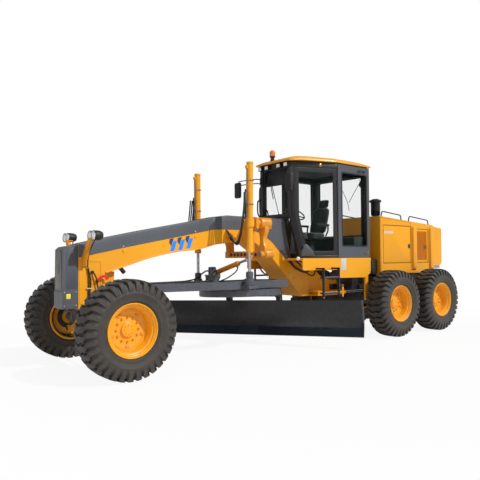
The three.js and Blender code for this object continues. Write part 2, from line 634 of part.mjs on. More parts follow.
function cabGlassShape() {
  const outer = CAB_WALL + 2;
  const top = DOOR_TOP + 35;
  const ring = cut(cabBlock(outer, 1660, top), cabBlock(outer + GLASS, 1600, top + 60));
  const doors = both((s) => wallPrism(
    [[cabFrontAt(1500) - 90, 1500], [CAB_FRONT_X - 90, CAB_KNEE_Z], [CAB_FRONT_X - 90, top - 30],
      [B_POST_X - 80, top - 30], [B_POST_X - 80, 1500]], s, outer - 30, outer + 60));
  const lowSides = both((s) => box([CAB_REAR_X, B_POST_X], [s * 500, s * (CAB_HALF + 10)],
    [1500, QUARTER_Z[0] - 30]));
  const lowBack = box([CAB_REAR_X - 20, CAB_REAR_X + 120], [-CAB_HALF, CAB_HALF], [1500, 2010]);
  return cut(ring, doors, lowSides, lowBack);
}

function cabDoorShape(s) {
  const leaf = wallPrism(doorSide(DOOR_GAP), s, 6, CAB_WALL - 6);
  return cut(leaf, wallPrism(doorSide(DOOR_GAP + 70), s, -20, CAB_WALL + 20));
}

function cabBaseShape() {
  const notch = FRAME_HALF + 40;
  const floor = cut(
    box([CAB_REAR_X + 10, PLATFORM_FRONT_X], [-SKIRT_HALF, SKIRT_HALF], [1560, CAB_FLOOR_Z]),
    box([cabFrontAt(CAB_FLOOR_Z) - 13, PLATFORM_FRONT_X + 10], [-notch, notch], [1500, 1700]));
  const skirts = both((s) => sidePrism([[PLATFORM_FRONT_X, CAB_FLOOR_Z], [PLATFORM_FRONT_X, 1400],
    [PLATFORM_FRONT_X - 30, 1376], [B_POST_X + 10, 1376], [B_POST_X + 10, 1240],
    [B_POST_X - 20, 1215], [-5390, 1205], [-5540, 1290], [CAB_REAR_X + 10, CAB_FLOOR_Z]],
  [s * SKIRT_HALF, s * (SKIRT_HALF - SKIRT_WALL)]));
  const back = box([CAB_REAR_X + 10, CAB_REAR_X + 40], [-SKIRT_HALF + 5, SKIRT_HALF - 5],
    [1330, 1590]);
  const posts = both((s) => box([-5540, -5450], [s * 700, s * 745], [740, 1580]));
  const ladders = both((s) => {
    const sides = LADDER_X.map((x) => join(
      box([x - 12, x + 12], [s * 950, s * 990], [885, 1420]),
      box([x - 12, x + 12], [s * (SKIRT_HALF - 15), s * 990], [1390, 1420])));
    const across = [LADDER_X[0] - 5, LADDER_X[1] + 5];
    const steps = [938, 1223].map((z) =>
      box(across, [s * (SKIRT_HALF + 90), s * 985], [z, z + 25]));
    const tie = box(across, [s * (SKIRT_HALF - 15), s * (SKIRT_HALF + 5)], [1385, 1440]);
    return join(sides, steps, tie);
  });
  return join(floor, skirts, back, posts, ladders);
}

function cabRoofShape() {
  const z0 = CAB_TOP_Z + GAP;
  const front = CAB_FRONT_X + 90;
  const rear = CAB_REAR_X - 90;
  const side = sidePrism([[front, z0], [front, z0 + 50], [front - 140, z0 + 100],
    [-4200, z0 + 125], [-5300, z0 + 120], [rear, z0 + 70], [rear, z0]], [-1100, 1100]);
  const half = CAB_HALF + 32;
  const narrow = CAB_FRONT_HALF + 70;
  const plan = planPrism([[front, narrow], [B_POST_X + 40, half], [rear, half], [rear, -half],
    [B_POST_X + 40, -half], [front, -narrow]], [z0 - 10, z0 + 200]);
  const beacon = [CAB_FRONT_X - 40, -100];
  return join(side.intersect(plan), rod([...beacon, z0 + 60], [...beacon, BEACON_TOP], 48, 14));
}

function seatShape() {
  const z = CAB_FLOOR_Z + GAP;
  const pedestal = box([-4780, -4420], [-190, 190], [z, 2020]);
  const cushion = box([-4880, -4340], [-255, 255], [2000, 2120]);
  const back = sidePrism([[-4800, 2060], [-4900, 2060], [-5090, 2800], [-4990, 2830]],
    [-240, 240]);
  const rests = both((s) => box([-4860, -4500], [s * 250, s * 320], [2240, 2290]));
  const posts = both((s) => box([-4860, -4800], [s * 235, s * 300], [2060, 2260]));
  return join(pedestal, cushion, back, rests, posts);
}

function consoleShape() {
  const z = CAB_FLOOR_Z + GAP;
  const column = sidePrism([[-3930, z], [-4110, z], [-4200, 2330], [-4120, 2370], [-4010, 2300]],
    [-110, 110]);
  const stem = rod([-4150, 0, 2320], [-4220, 0, 2440], 32, 12);
  const tilt = new THREE.Vector3(-70, 0, 120).normalize();
  const turn = new THREE.Quaternion().setFromUnitVectors(new THREE.Vector3(0, 0, 1), tilt);
  const rim = solid(new THREE.TorusGeometry(195, 16, 6, 16)
    .applyQuaternion(turn).translate(-4220, 0, 2440));
  const spokes = rod([-4220, -190, 2440], [-4220, 190, 2440], 13, 8);
  return join(column, stem, rim, spokes);
}

function mirrorShape(head, root) {
  const [x, y, z0, z1] = head;
  const glassBox = box([x - 30, x + 30], [y - 90, y + 90], [z0, z1]);
  const out = Math.sign(y);
  const arms = [z1 + 25, z1 - 60].map((z) =>
    rod([root[0] + 8, root[1], z], [x + 4, y - out * 36, z], 11, 8));
  const stem = rod([x, y - out * 40, z0 + 40], [x, y - out * 40, z1 + 30], 13, 8);
  const pad = box([root[0] - 6, root[0] + 14], [root[1] - 20, root[1] + 20], [z1 - 90, z1 + 55]);
  return join(glassBox, arms, stem, pad);
}

function addCab(front) {
  front.add(piece('cab_base', cabBaseShape(), yellow()));
  front.add(piece('cab_frame', cabFrameShape(), black()));
  front.add(piece('cab_roof', cabRoofShape(), yellow()));
  front.add(piece('cab_glass', cabGlassShape(), glass()));
  front.add(piece('seat', seatShape(), cloth()));
  front.add(piece('steering_console', consoleShape(), black()));
  const root = CAB_FRONT_X + 6 + GAP;
  const post = CAB_FRONT_HALF - 30;
  const left = mirrorShape([-3450, post + 200, 2820, 3170], [root, post]);
  const right = mirrorShape([-3430, -post - 480, 2830, 3150], [root, -post]);
  front.add(piece('mirror_left', left, black()));
  front.add(piece('mirror_right', right, black()));
  for (const [side, s] of SIDE_NAMES) {
    const hinge = [B_POST_X + 3, s * (CAB_HALF - 3), 0];
    const door = body(`cab_door_${side}`, front, hinge);
    const leaf = piece(`cab_door_${side}`, cabDoorShape(s), black());
    leaf.position.set(-hinge[0], -hinge[1], 0);
    door.add(leaf);
  }
}

// ---------------------------------------------------------------- blade gear
function drawbarBallShape() {
  return join(ball([0, 0, 0], BALL_RADIUS), rod([0, -98, 0], [0, 98, 0], 22, 14));
}

function drawbarShape() {
  const z = [-50, 80];
  const tines = both((s) => join(
    box([-200, 0], [s * 62, s * 92], [-42, 42]), rod([0, s * 62, 0], [0, s * 92, 0], 42, 16)));
  const head = box([-320, -78], [-92, 92], z);
  const beams = both((s) => planPrism([[-170, s * 92], [-170, s * 0], [-300, s * 0],
    [-1800, s * 560], [-3060, s * 560], [-3060, s * 680], [-1800, s * 680], [-260, s * 92]], z));
  const crossX = [-2150, -3030];
  const crosses = crossX.map((x) => box([x - 70, x + 70], [-600, 600], z));
  const studX = LIFT_X - BALL[0];
  const wings = both((s) => box([studX - 75, studX + 75], [s * 640, s * (LIFT_STUD_Y + 75)], [-45, 20]));
  const studs = both((s) => join(
    rod([studX, s * LIFT_STUD_Y, 0], [studX, s * LIFT_STUD_Y, LIFT_STUD_Z - BALL[2]], 26, 14),
    ball([studX, s * LIFT_STUD_Y, LIFT_STUD_Z - BALL[2]], STUD_RADIUS)));
  const base = SHIFT_BASE.map((v, i) => v - BALL[i]);
  const post = join(
    box([base[0] - 64, base[0] + 64], [base[1] - 60, base[1] + 60], [0, base[2] - 62]),
    [-55, 55].map((x) => box([base[0] + x - 9, base[0] + x + 9], [base[1] - 40, base[1] + 40],
      [base[2] - 80, base[2] + 5])));
  const motor = join(
    rod([-1880, 0, 60], [-1880, 0, 190], 120, 20), rod([-1880, 0, 180], [-1880, 0, 300], 70, 16),
    box([-2100, -1700], [-560, 560], [-50, 60]));
  const holes = rod([0, -120, 0], [0, 120, 0], 22 + PIN_GAP, 14);
  return cut(join(tines, head, beams, crosses, wings, studs, post, motor), holes);
}

function circleShape() {
  const top = -72;
  const ring = uprightLathe([[CIRCLE_RADIUS - 115, top - 115], [CIRCLE_RADIUS, top - 115],
    [CIRCLE_RADIUS, top], [CIRCLE_RADIUS - 115, top], [CIRCLE_RADIUS - 115, top - 115]], 32);
  const ground = -BALL[2];
  const arms = both((s) => sidePrism([[-360, top - 20], [-520, top - 20], [-700, top - 70],
    [-735, ground + 640], [-665, ground + 340], [-600, ground + 345], [-572, ground + 400],
    [-572, ground + 850], [-360, ground + 935]], [s * ARM_Y[0], s * ARM_Y[1]]));
  const brace = box([-700, -610], [-ARM_Y[0] - 5, ARM_Y[0] + 5], [ground + 870, ground + 940]);
  const pivot = both((s) => rod([TILT_PIVOT[0], s * ARM_Y[0], ground + TILT_PIVOT[1]],
    [TILT_PIVOT[0], s * (ARM_Y[1] + 1), ground + TILT_PIVOT[1]], 62, 18));
  const stubs = both((s) => rod([TILT_PIVOT[0], s * (ARM_Y[0] - 42), ground + TILT_PIVOT[1]],
    [TILT_PIVOT[0], s * (ARM_Y[0] + 20), ground + TILT_PIVOT[1]], 28, 14));
  return join(ring, arms, brace, pivot, stubs);
}

// The moldboard's hollow faces forward: an arc in X and Z about a centre ahead of it,
// relative to the tilt pivot.
function bladeArc(offset, from, to, steps) {
  const middle = (BLADE_TOP + BLADE_BOTTOM) / 2 - TILT_PIVOT[1];
  const deepest = -480 - TILT_PIVOT[0];
  const points = [];
  for (let i = 0; i <= steps; i += 1) {
    const z = from + (to - from) * i / steps - TILT_PIVOT[1];
    const rise = Math.asin((z - middle) / BLADE_RADIUS);
    const r = BLADE_RADIUS + offset;
    points.push([deepest + BLADE_RADIUS - r * Math.cos(rise), middle + r * Math.sin(rise)]);
  }
  return points;
}

const RAILS = [200, -90];        // heights of the slide rails above the tilt pivot

function moldboardShape() {
  const half = BLADE_LENGTH / 2;
  const front = bladeArc(-BLADE_THICK, BLADE_BOTTOM, BLADE_TOP, 8);
  const back = bladeArc(0, BLADE_BOTTOM, BLADE_TOP, 8).reverse();
  const sheet = sidePrism([...front, ...back], [-half, half]);
  const slide = [-SLIDE_LENGTH / 2, SLIDE_LENGTH / 2];
  const rails = RAILS.map((z) => join(
    box([70, 108], slide, [z - 22, z + 22]),
    box([100, 150], slide, [z - 12, z + 12])));
  return join(sheet, rails);
}

function carriageShape() {
  const tube = rod([0, -ARM_Y[0] + 4, 0], [0, ARM_Y[0] - 4, 0], 58, 18);
  const bores = both((s) => rod([0, s * (ARM_Y[0] - 46), 0], [0, s * (ARM_Y[0] + 10), 0],
    28 + PIN_GAP, 14));
  const plates = both((s) => {
    const y = [s * 300, s * 380];
    const body = sidePrism([[-45, -80], [-45, 120], [10, 240], [96, 240], [96, -130],
      [10, -130]], y);
    const grooves = RAILS.map((z) => box([66, 200], [s * 250, s * 430], [z - 25, z + 25]));
    return cut(body, grooves);
  });
  return join(cut(tube, bores), plates);
}

function liftBarrelShape() {
  const bore = LIFT_ROD_RADIUS + PIN_GAP;
  const R = LIFT_BARREL_RADIUS;
  const tube = uprightLathe([[bore, -500], [R + 6, -500], [R + 6, -440], [R, -435], [R, 985],
    [R + 5, 990], [R + 5, 1020], [0, 1020], [0, 960], [bore, 960], [bore, -500]], 18);
  const collar = uprightLathe([[R - 5, -70], [78, -70], [78, 70], [R - 5, 70], [R - 5, -70]], 18);
  const boss = rod([-60, 0, 0], [-82, 0, 0], 38, 14);
  const port = box([R - 10, R + 35], [-22, 22], [900, 960]);
  return join(tube, collar, boss, port);
}

function liftRodShape(reach) {
  const eye = STUD_RADIUS + 12;
  return join(
    rod([0, 0, -(reach - eye - 30)], [0, 0, 250], LIFT_ROD_RADIUS, 14),
    rod([0, 0, -(reach - eye)], [0, 0, -(reach - eye - 105)], 62, 16));
}

function shiftBarrelShape() {
  const L = SHIFT_BARREL_LENGTH;
  const tube = uprightLathe([[26, L], [48, L], [48, 60], [0, 60], [0, 110], [26, 110],
    [26, L]], 16);
  return join(tube, ball([0, 0, 0], 40), rod([0, 0, 0], [0, 0, 70], 30, 12));
}

function shiftRodShape(reach) {
  return join(rod([0, 0, 262], [0, 0, reach - 20], 23, 14), ball([0, 0, reach], 38));
}

// Turns a group so that its own +Z points from its place towards a target.
function aim(group, from, target) {
  const direction = new THREE.Vector3(...target).sub(new THREE.Vector3(...from)).normalize();
  group.quaternion.setFromUnitVectors(new THREE.Vector3(0, 0, 1), direction);
}

function addLiftCylinders(front) {
  const roll = DRAWBAR_ROLL * DEG;
  for (const [side, s] of SIDE_NAMES) {
    const pivot = [LIFT_X, s * LIFT_PIVOT_Y, LIFT_PIVOT_Z];
    const y = s * LIFT_STUD_Y;
    const z = LIFT_STUD_Z - BALL[2];
    const stud = [LIFT_X, y * Math.cos(roll) - z * Math.sin(roll),
      BALL[2] + y * Math.sin(roll) + z * Math.cos(roll)];
    const reach = Math.hypot(...pivot.map((v, i) => v - stud[i]));
    const barrel = body(`lift_barrel_${side}`, front, pivot);
    aim(barrel, stud, pivot);
    barrel.add(piece(`lift_barrel_${side}`, liftBarrelShape(), yellow()));
    const slide = body(`lift_rod_${side}`, barrel, [0, 0, 0]);
    slide.add(piece(`lift_rod_${side}`, liftRodShape(reach), chrome()));
  }
}

function addBladeGear(front) {
  const knuckle = body('drawbar_ball', front, BALL);
  knuckle.rotation.x = DRAWBAR_ROLL * DEG;
  knuckle.add(piece('drawbar_ball', drawbarBallShape(), steel()));
  const drawbar = body('drawbar', knuckle, [0, 0, 0]);
  drawbar.add(piece('drawbar', drawbarShape(), grey()));
  const circle = body('circle', drawbar, [-CIRCLE_BACK, 0, 0]);
  circle.rotation.z = CIRCLE_TURN * DEG;
  circle.add(piece('circle', circleShape(), grey()));
  const carriage = body('blade_carriage', circle,
    [TILT_PIVOT[0], 0, TILT_PIVOT[1] - BALL[2]]);
  carriage.add(piece('blade_carriage', carriageShape(), grey()));
  const blade = body('moldboard', carriage, [0, 0, 0]);
  const board = piece('moldboard', moldboardShape(), bladeSteel());
  board.position.y = BLADE_REST_SHIFT;
  blade.add(board);
  addShiftCylinder(drawbar);
}

function addShiftCylinder(drawbar) {
  const base = SHIFT_BASE.map((v, i) => v - BALL[i]);
  const unroll = new THREE.Vector3(...SHIFT_EYE.map((v, i) => v - BALL[i]))
    .applyAxisAngle(new THREE.Vector3(1, 0, 0), -DRAWBAR_ROLL * DEG);
  const reach = unroll.distanceTo(new THREE.Vector3(...base));
  const barrel = body('shift_barrel', drawbar, base);
  aim(barrel, base, unroll.toArray());
  barrel.add(piece('shift_barrel', shiftBarrelShape(), yellow()));
  const slide = body('shift_rod', barrel, [0, 0, 0]);
  slide.add(piece('shift_rod', shiftRodShape(reach), chrome()));
}

// ---------------------------------------------------------------- articulation cylinders
function artBarrelShape() {
  const L = ART_BARREL_LENGTH;
  const tube = uprightLathe([[29, L], [52, L], [52, 90], [0, 90], [0, 130], [29, 130], [29, L]], 16);
  return join(tube, rod([-ART_EYE_HALF, 0, 0], [ART_EYE_HALF, 0, 0], 48, 16),
    box([-18, 18], [-40, 40], [0, 100]));
}

function artRodShape(reach) {
  const inner = reach - ART_ROD_LENGTH;
  const neck = box([-18, 18], [-27, 27], [reach - 120, reach]);
  return join(rod([0, 0, inner], [0, 0, reach - 100], 27, 14), neck,
    rod([-ART_EYE_HALF, 0, reach], [ART_EYE_HALF, 0, reach], 45, 16));
}

function addArticulationCylinders(front) {
  for (const [side, s] of SIDE_NAMES) {
    const barrel = body(`articulation_barrel_${side}`, front, [ART_FRONT_X, s * ART_Y, ART_Z]);
    barrel.rotation.y = -Math.PI / 2;
    barrel.add(piece(`articulation_barrel_${side}`, artBarrelShape(), yellow()));
    const slide = body(`articulation_rod_${side}`, barrel, [0, 0, 0]);
    slide.add(piece(`articulation_rod_${side}`, artRodShape(ART_FRONT_X - ART_REAR_X), chrome()));
  }
}

// ---------------------------------------------------------------- assembly
function addFrontMachine(machine) {
  const front = new THREE.Group();
  front.name = 'front';
  machine.add(front);
  front.add(piece('front_frame', frontFrameShape(), yellow()));
  front.add(piece('nose_block', noseShape(), grey()));
  front.add(piece('blade_saddle', saddleShape(), grey()));
  front.add(piece('front_axle', frontAxleShape(), yellow()));
  for (const [side, s] of SIDE_NAMES) {
    front.add(piece(`headlamps_${side}`, headlampShape(s), black()));
  }
  addFrontWheels(front);
  addCab(front);
  addLiftCylinders(front);
  addBladeGear(front);
  addArticulationCylinders(front);
}

const grader = new THREE.Group();
grader.name = 'motor_grader';
const machine = new THREE.Group();
machine.position.x = ORIGIN_X;
grader.add(machine);
addRearMachine(machine);
addFrontMachine(machine);

export default grader;
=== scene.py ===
"""Looks of a motor grader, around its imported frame: tyres, painted plates, cab, blade gear and hood.

Lengths in the tables are millimetres at stations: X counts from the front axle, forward positive,
Y is to the machine's left and Z is the height above the ground. at() turns them into the frame's metres.
"""

import math

import bmesh
import bpy
import numpy as np
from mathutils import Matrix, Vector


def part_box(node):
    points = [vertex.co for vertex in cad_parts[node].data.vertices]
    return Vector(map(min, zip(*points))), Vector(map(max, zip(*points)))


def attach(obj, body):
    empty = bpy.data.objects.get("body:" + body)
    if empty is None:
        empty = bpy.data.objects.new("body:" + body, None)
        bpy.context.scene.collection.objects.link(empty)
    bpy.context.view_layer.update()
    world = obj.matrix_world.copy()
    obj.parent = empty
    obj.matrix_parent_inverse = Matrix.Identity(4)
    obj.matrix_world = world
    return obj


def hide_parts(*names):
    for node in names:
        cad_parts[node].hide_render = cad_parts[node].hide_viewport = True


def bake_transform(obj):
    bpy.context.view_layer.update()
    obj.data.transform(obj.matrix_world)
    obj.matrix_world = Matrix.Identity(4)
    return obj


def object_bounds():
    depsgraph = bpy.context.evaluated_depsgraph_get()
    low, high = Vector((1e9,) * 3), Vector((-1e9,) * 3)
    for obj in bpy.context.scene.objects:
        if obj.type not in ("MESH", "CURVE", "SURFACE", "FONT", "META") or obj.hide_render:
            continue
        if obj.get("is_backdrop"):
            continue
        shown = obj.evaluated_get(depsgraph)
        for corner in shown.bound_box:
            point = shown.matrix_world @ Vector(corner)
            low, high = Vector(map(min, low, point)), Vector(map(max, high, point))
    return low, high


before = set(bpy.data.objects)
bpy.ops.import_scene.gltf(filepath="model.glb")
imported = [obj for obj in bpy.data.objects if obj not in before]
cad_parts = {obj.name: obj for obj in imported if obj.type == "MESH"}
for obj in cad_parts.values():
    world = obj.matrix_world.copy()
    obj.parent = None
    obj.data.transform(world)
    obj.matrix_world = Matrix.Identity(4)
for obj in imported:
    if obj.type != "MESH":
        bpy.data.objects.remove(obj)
CAD_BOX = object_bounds()

MM = 0.001
SIDES = (("left", 1), ("right", -1))
AHEAD, LEFT, UP = (1, 0, 0), (0, 1, 0), (0, 0, 1)
FRONT_X = (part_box("rim_front_left")[0].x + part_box("rim_front_left")[1].x) / 2


def at(points):
    """Points in millimetres at stations, as metres in the frame."""
    return np.asarray(points, float) * MM + np.array([FRONT_X, 0.0, 0.0])


# ------------------------------------------------------------------ surfaces
def signed_volume(points, faces):
    """Sum over the faces' fans of a . (b x c) / 6, about the middle of the points."""
    centred = points - points.mean(0)
    total = 0.0
    for block in faces:
        first = centred[block[:, 0]]
        for k in range(1, block.shape[1] - 1):
            total += np.einsum("ij,ij->", first, np.cross(centred[block[:, k]], centred[block[:, k + 1]]))
    return total / 6


def outward(points, faces):
    """The shell with its faces turned to point out."""
    if signed_volume(points, faces) < 0:
        faces = [block[:, ::-1] for block in faces]
    return points, faces


def loops(rows, ring=False, caps=True):
    """Closed surface over rows[row, point]: each row is a closed loop joined to the next by quads.
    The end rows are closed flat, or joined to each other in a ring."""
    rows = np.asarray(rows, float)
    m, n = rows.shape[:2]
    a, b = np.meshgrid(np.arange(m if ring else m - 1), np.arange(n), indexing="ij")
    a2, b2 = (a + 1) % m, (b + 1) % n
    faces = [np.stack([a * n + b, a2 * n + b, a2 * n + b2, a * n + b2], -1).reshape(-1, 4)]
    if caps and not ring:
        faces.append(np.stack([np.arange(n), np.arange(m * n - 1, (m - 1) * n - 1, -1)]))
    return outward(rows.reshape(-1, 3), faces)


def between(top, low):
    """The solid between two grids of points: both are covered with quads and their rims are joined."""
    ids = np.arange(top.shape[0] * top.shape[1]).reshape(top.shape[:2])
    quads = np.stack([ids[:-1, :-1], ids[1:, :-1], ids[1:, 1:], ids[:-1, 1:]], -1).reshape(-1, 4)
    rim = np.concatenate([ids[0, :-1], ids[:-1, -1], ids[-1, :0:-1], ids[:0:-1, 0]])
    after = np.roll(rim, -1)
    walls = np.stack([rim, after, after + ids.size, rim + ids.size], -1)
    points = np.concatenate([top.reshape(-1, 3), low.reshape(-1, 3)])
    return outward(points, [quads, quads[:, ::-1] + ids.size, walls])


def skin(grid, thick):
    """A sheet through grid[i, j] given a wall: each point moves half the wall along and against
    the cross product of the grid's two directions, and the rims are closed."""
    grid = np.asarray(grid, float)
    across = np.gradient(grid, axis=1)
    along = np.gradient(grid, axis=0)
    normal = np.cross(along, across)
    normal /= np.maximum(np.linalg.norm(normal, axis=2, keepdims=True), 1e-12)
    return between(grid + normal * thick / 2, grid - normal * thick / 2)


def fill_smooth(points, steps=8):
    """A smooth line through the points: Catmull-Rom cubics, each blending four neighbours."""
    p = np.asarray(points, float)
    p = np.concatenate([2 * p[:1] - p[1:2], p, 2 * p[-1:] - p[-2:-1]])
    k = len(p) - 3
    t = np.linspace(0, k, k * steps + 1)
    i = np.minimum(t.astype(int), k - 1)
    f = (t - i)[:, None]
    a, b, c, d = p[i], p[i + 1], p[i + 2], p[i + 3]
    return 0.5 * (2 * b + (c - a) * f + (2 * a - 5 * b + 4 * c - d) * f**2 + (3 * b - a - 3 * c + d) * f**3)


AXES = np.array([[0, 0, 1], [1, 0, 0], [0, 1, 0], [1, 1, 0], [1, -1, 0], [0, 1, 1], [1, 0, 1], [1, 0.5, -1]], float)
AXES /= np.linalg.norm(AXES, axis=1, keepdims=True)


def carried(section, path, up=None):
    """A closed section[k, (across, up)] carried along a path: at each station across is the tangent
    times up, and the section's own up is across times the tangent."""
    path = np.asarray(path, float)
    tangent = np.gradient(path, axis=0)
    tangent /= np.linalg.norm(tangent, axis=1, keepdims=True)
    if up is None:
        up = AXES[np.argmin(np.abs(tangent @ AXES.T).max(0))]
    across = np.cross(tangent, up)
    across /= np.linalg.norm(across, axis=1, keepdims=True)
    upward = np.cross(across, tangent)
    section = np.asarray(section, float)
    rows = path[:, None] + section[None, :, :1] * across[:, None] + section[None, :, 1:] * upward[:, None]
    return loops(rows)


def circle(radius, sides=12):
    """Points on a circle: radius times cosine and sine."""
    angle = np.linspace(0, 2 * np.pi, sides, endpoint=False)
    return np.stack([radius * np.cos(angle), radius * np.sin(angle)], -1)


def tube(points, radius, sides=10, steps=8):
    """A round hose or bar: a circle carried along the smooth line through the points."""
    return carried(circle(radius * MM, sides), fill_smooth(at(points), steps))


def basis(axis):
    """Two directions square to an axis, and the axis itself, as rows."""
    w = np.asarray(axis, float) / np.linalg.norm(axis)
    side = AXES[np.argmin(np.abs(AXES[:3] @ w))]
    u = np.cross(side, w)
    u /= np.linalg.norm(u)
    return np.stack([u, np.cross(w, u), w])


def turned(profile, centre, axis, sides=32, ring=False):
    """A profile of [radius, height] turned about an axis through centre: radius times cosine and
    sine across, height along. It starts and ends on the axis, or is a ring's closed section."""
    profile = np.asarray(profile, float) * MM
    u, v, w = basis(axis)
    angle = np.linspace(0, 2 * np.pi, sides, endpoint=False)
    round_ = np.cos(angle)[:, None] * u + np.sin(angle)[:, None] * v
    rows = np.asarray(centre) + profile[:, 0, None, None] * round_ + profile[:, 1, None, None] * w
    return loops(rows, ring=ring, caps=False)


def inset(outline, by):
    """The outline moved in by a distance: each point slides along the sum of its two edges' normals."""
    p = np.asarray(outline, float)
    area = np.sum(p[:, 0] * np.roll(p[:, 1], -1) - np.roll(p[:, 0], -1) * p[:, 1])
    ahead = np.roll(p, -1, 0) - p
    ahead /= np.maximum(np.linalg.norm(ahead, axis=1, keepdims=True), 1e-12)
    normal = np.stack([-ahead[:, 1], ahead[:, 0]], -1) * np.sign(area)
    before = np.roll(normal, 1, 0)
    both = normal + before
    return p + by * both / np.maximum(1 + np.sum(normal * before, 1, keepdims=True), 0.4)


def rounded(corners, radius, steps=4):
    """A polygon with its corners rounded: quadratic curves between points set back along each edge."""
    p = np.asarray(corners, float)
    back, ahead = np.roll(p, 1, 0) - p, np.roll(p, -1, 0) - p
    lb, la = np.linalg.norm(back, axis=1), np.linalg.norm(ahead, axis=1)
    r = np.minimum(np.minimum(lb, la) * 0.48, radius)[:, None]
    start, end = p + back / lb[:, None] * r, p + ahead / la[:, None] * r
    t = np.linspace(0, 1, steps + 1)[None, :, None]
    curve = (1 - t) ** 2 * start[:, None] + 2 * t * (1 - t) * p[:, None] + t**2 * end[:, None]
    return curve.reshape(-1, 2)


PLANES = {"x": (1, 2, 0), "y": (0, 2, 1), "z": (0, 1, 2)}


def lift_to(outline, level, plane):
    """A flat outline placed at a level along the plane's own axis."""
    a, b, c = PLANES[plane]
    out = np.zeros((len(outline), 3))
    out[:, a], out[:, b], out[:, c] = outline[:, 0], outline[:, 1], level
    return out


def slab(outline, low, high, plane="y", edge=3.0):
    """A plate: the outline at two levels, its rims drawn in by the edge's size at both faces."""
    low, high = min(low, high), max(low, high)
    e = min(edge, (high - low) / 2.5)
    o = np.asarray(outline, float)
    levels = [(low, e), (low + e * 0.3, e * 0.3), (low + e, 0), (high - e, 0), (high - e * 0.3, e * 0.3), (high, e)]
    return loops([at(lift_to(inset(o, d), level, plane)) for level, d in levels])


def rect(a0, a1, b0, b1, radius=0.0, steps=4):
    """A rectangle's corners in order, rounded if asked."""
    p = np.array([[a0, b0], [a1, b0], [a1, b1], [a0, b1]], float)
    return rounded(p, radius, steps) if radius else p


def pad(a, b, half_a, half_b, radius):
    """A rounded rectangle about a middle point."""
    return rect(a - half_a, a + half_a, b - half_b, b + half_b, radius)


def block(x, y, z, edge=3.0):
    """A bar or box with softened edges: a rectangle in X and Z carried across Y."""
    return slab(rect(min(x), max(x), min(z), max(z)), min(y), max(y), "y", edge)


def border(outer, inner, low, high, plane="y", edge=2.0):
    """A frame round an opening: four loops, the two outlines at the two levels, joined in a ring."""
    e = min(edge, abs(high - low) / 3)
    step = e if high > low else -e
    rows = [(outer, low), (outer, high - step), (inset(outer, e), high), (inset(inner, -e), high),
            (inner, high - step), (inner, low)]
    return loops([at(lift_to(np.asarray(o, float), level, plane)) for o, level in rows], ring=True)


def copied(points, faces):
    """One shell of all the copies in points[copy, point], each with the same faces."""
    start = (np.arange(len(points)) * points.shape[1])[:, None, None]
    return points.reshape(-1, 3), [(rows[None] + start).reshape(-1, rows.shape[1]) for rows in faces]


def repeat(shell, offsets):
    """The shell copied to each offset, in metres."""
    points, faces = shell
    offsets = np.asarray(offsets, float).reshape(-1, 3)
    return copied(points[None] + offsets[:, None], faces)


def around(shell, centre, axis, count, phase=0.0):
    """The shell copied round an axis: count copies, each turned by a full turn over count."""
    points, faces = shell
    w = np.asarray(axis, float) / np.linalg.norm(axis)
    centre = np.asarray(centre, float)
    angle = (np.arange(count) * 2 * np.pi / count + phase)[:, None, None]
    p = (points - centre)[None]
    dot = (p @ w)[..., None]
    moved = p * np.cos(angle) + np.cross(w, p) * np.sin(angle) + w * dot * (1 - np.cos(angle))
    return copied(moved + centre, faces)


def mirrored(shell):
    """The shell on the machine's other side: Y changes sign and the faces turn round."""
    points, faces = shell
    return points * np.array([1, -1, 1]), [b[:, ::-1] for b in faces]


def bolts(places, axis, radius=11, height=9, washer=True):
    """A hexagon bolt head at each place: a six-sided profile with its top edge drawn in, on a washer or bare."""
    foot = [[radius * 1.35, 0], [radius * 1.35, 2], [radius, 2]] if washer else [[radius, 0]]
    profile = [[0, 0], *foot, [radius, height * 0.8], [radius * 0.8, height], [0, height]]
    return repeat(turned(profile, (0, 0, 0), axis, 6), at(places))


class Place:
    """A turned and shifted set of axes that a moving piece is modelled in, in metres."""

    def __init__(self, origin, rows=None):
        self.origin = np.asarray(origin, float)
        self.rows = np.eye(3) if rows is None else np.asarray(rows, float)

    def point(self, local):
        return self.origin + np.asarray(local, float) * MM @ self.rows

    def within(self, local, rows=None):
        """Axes placed and turned inside these ones."""
        turn = np.eye(3) if rows is None else np.asarray(rows, float)
        return Place(self.point(local), turn @ self.rows)

    def put(self, shell):
        """A shell made about the station origin, moved into these axes."""
        points, faces = shell
        local = points - np.array([FRONT_X, 0, 0])
        return self.origin + local @ self.rows, faces


def turn_x(degrees):
    """Rows of the axes turned about X."""
    c, s = math.cos(math.radians(degrees)), math.sin(math.radians(degrees))
    return np.array([[1, 0, 0], [0, c, s], [0, -s, c]])


def turn_z(degrees):
    """Rows of the axes turned about Z."""
    c, s = math.cos(math.radians(degrees)), math.sin(math.radians(degrees))
    return np.array([[c, s, 0], [-s, c, 0], [0, 0, 1]])


def pointing(direction):
    """Rows of the axes turned the short way until Z points along a direction."""
    d = np.asarray(direction, float) / np.linalg.norm(direction)
    v = np.cross([0, 0, 1], d)
    k = np.array([[0, -v[2], v[1]], [v[2], 0, -v[0]], [-v[1], v[0], 0]])
    return (np.eye(3) + k + k @ k / (1 + d[2])).T


# ------------------------------------------------------------------ finishes
def srgb(red, green, blue):
    """A colour from screen values of 0 to 255, as linear light."""
    c = np.array([red, green, blue]) / 255
    linear = np.where(c <= 0.04045, c / 12.92, ((c + 0.055) / 1.055) ** 2.4)
    return (*[float(v) for v in linear], 1.0)


def put(tree, kind, inputs=(), **settings):
    """Adds a shader node with its settings; an input is given a value or another node's output."""
    made = tree.nodes.new(kind)
    for key, value in settings.items():
        setattr(made, key, value)
    for key, value in dict(inputs).items():
        if isinstance(value, bpy.types.NodeSocket):
            tree.links.new(value, made.inputs[key])
        else:
            made.inputs[key].default_value = value
    return made


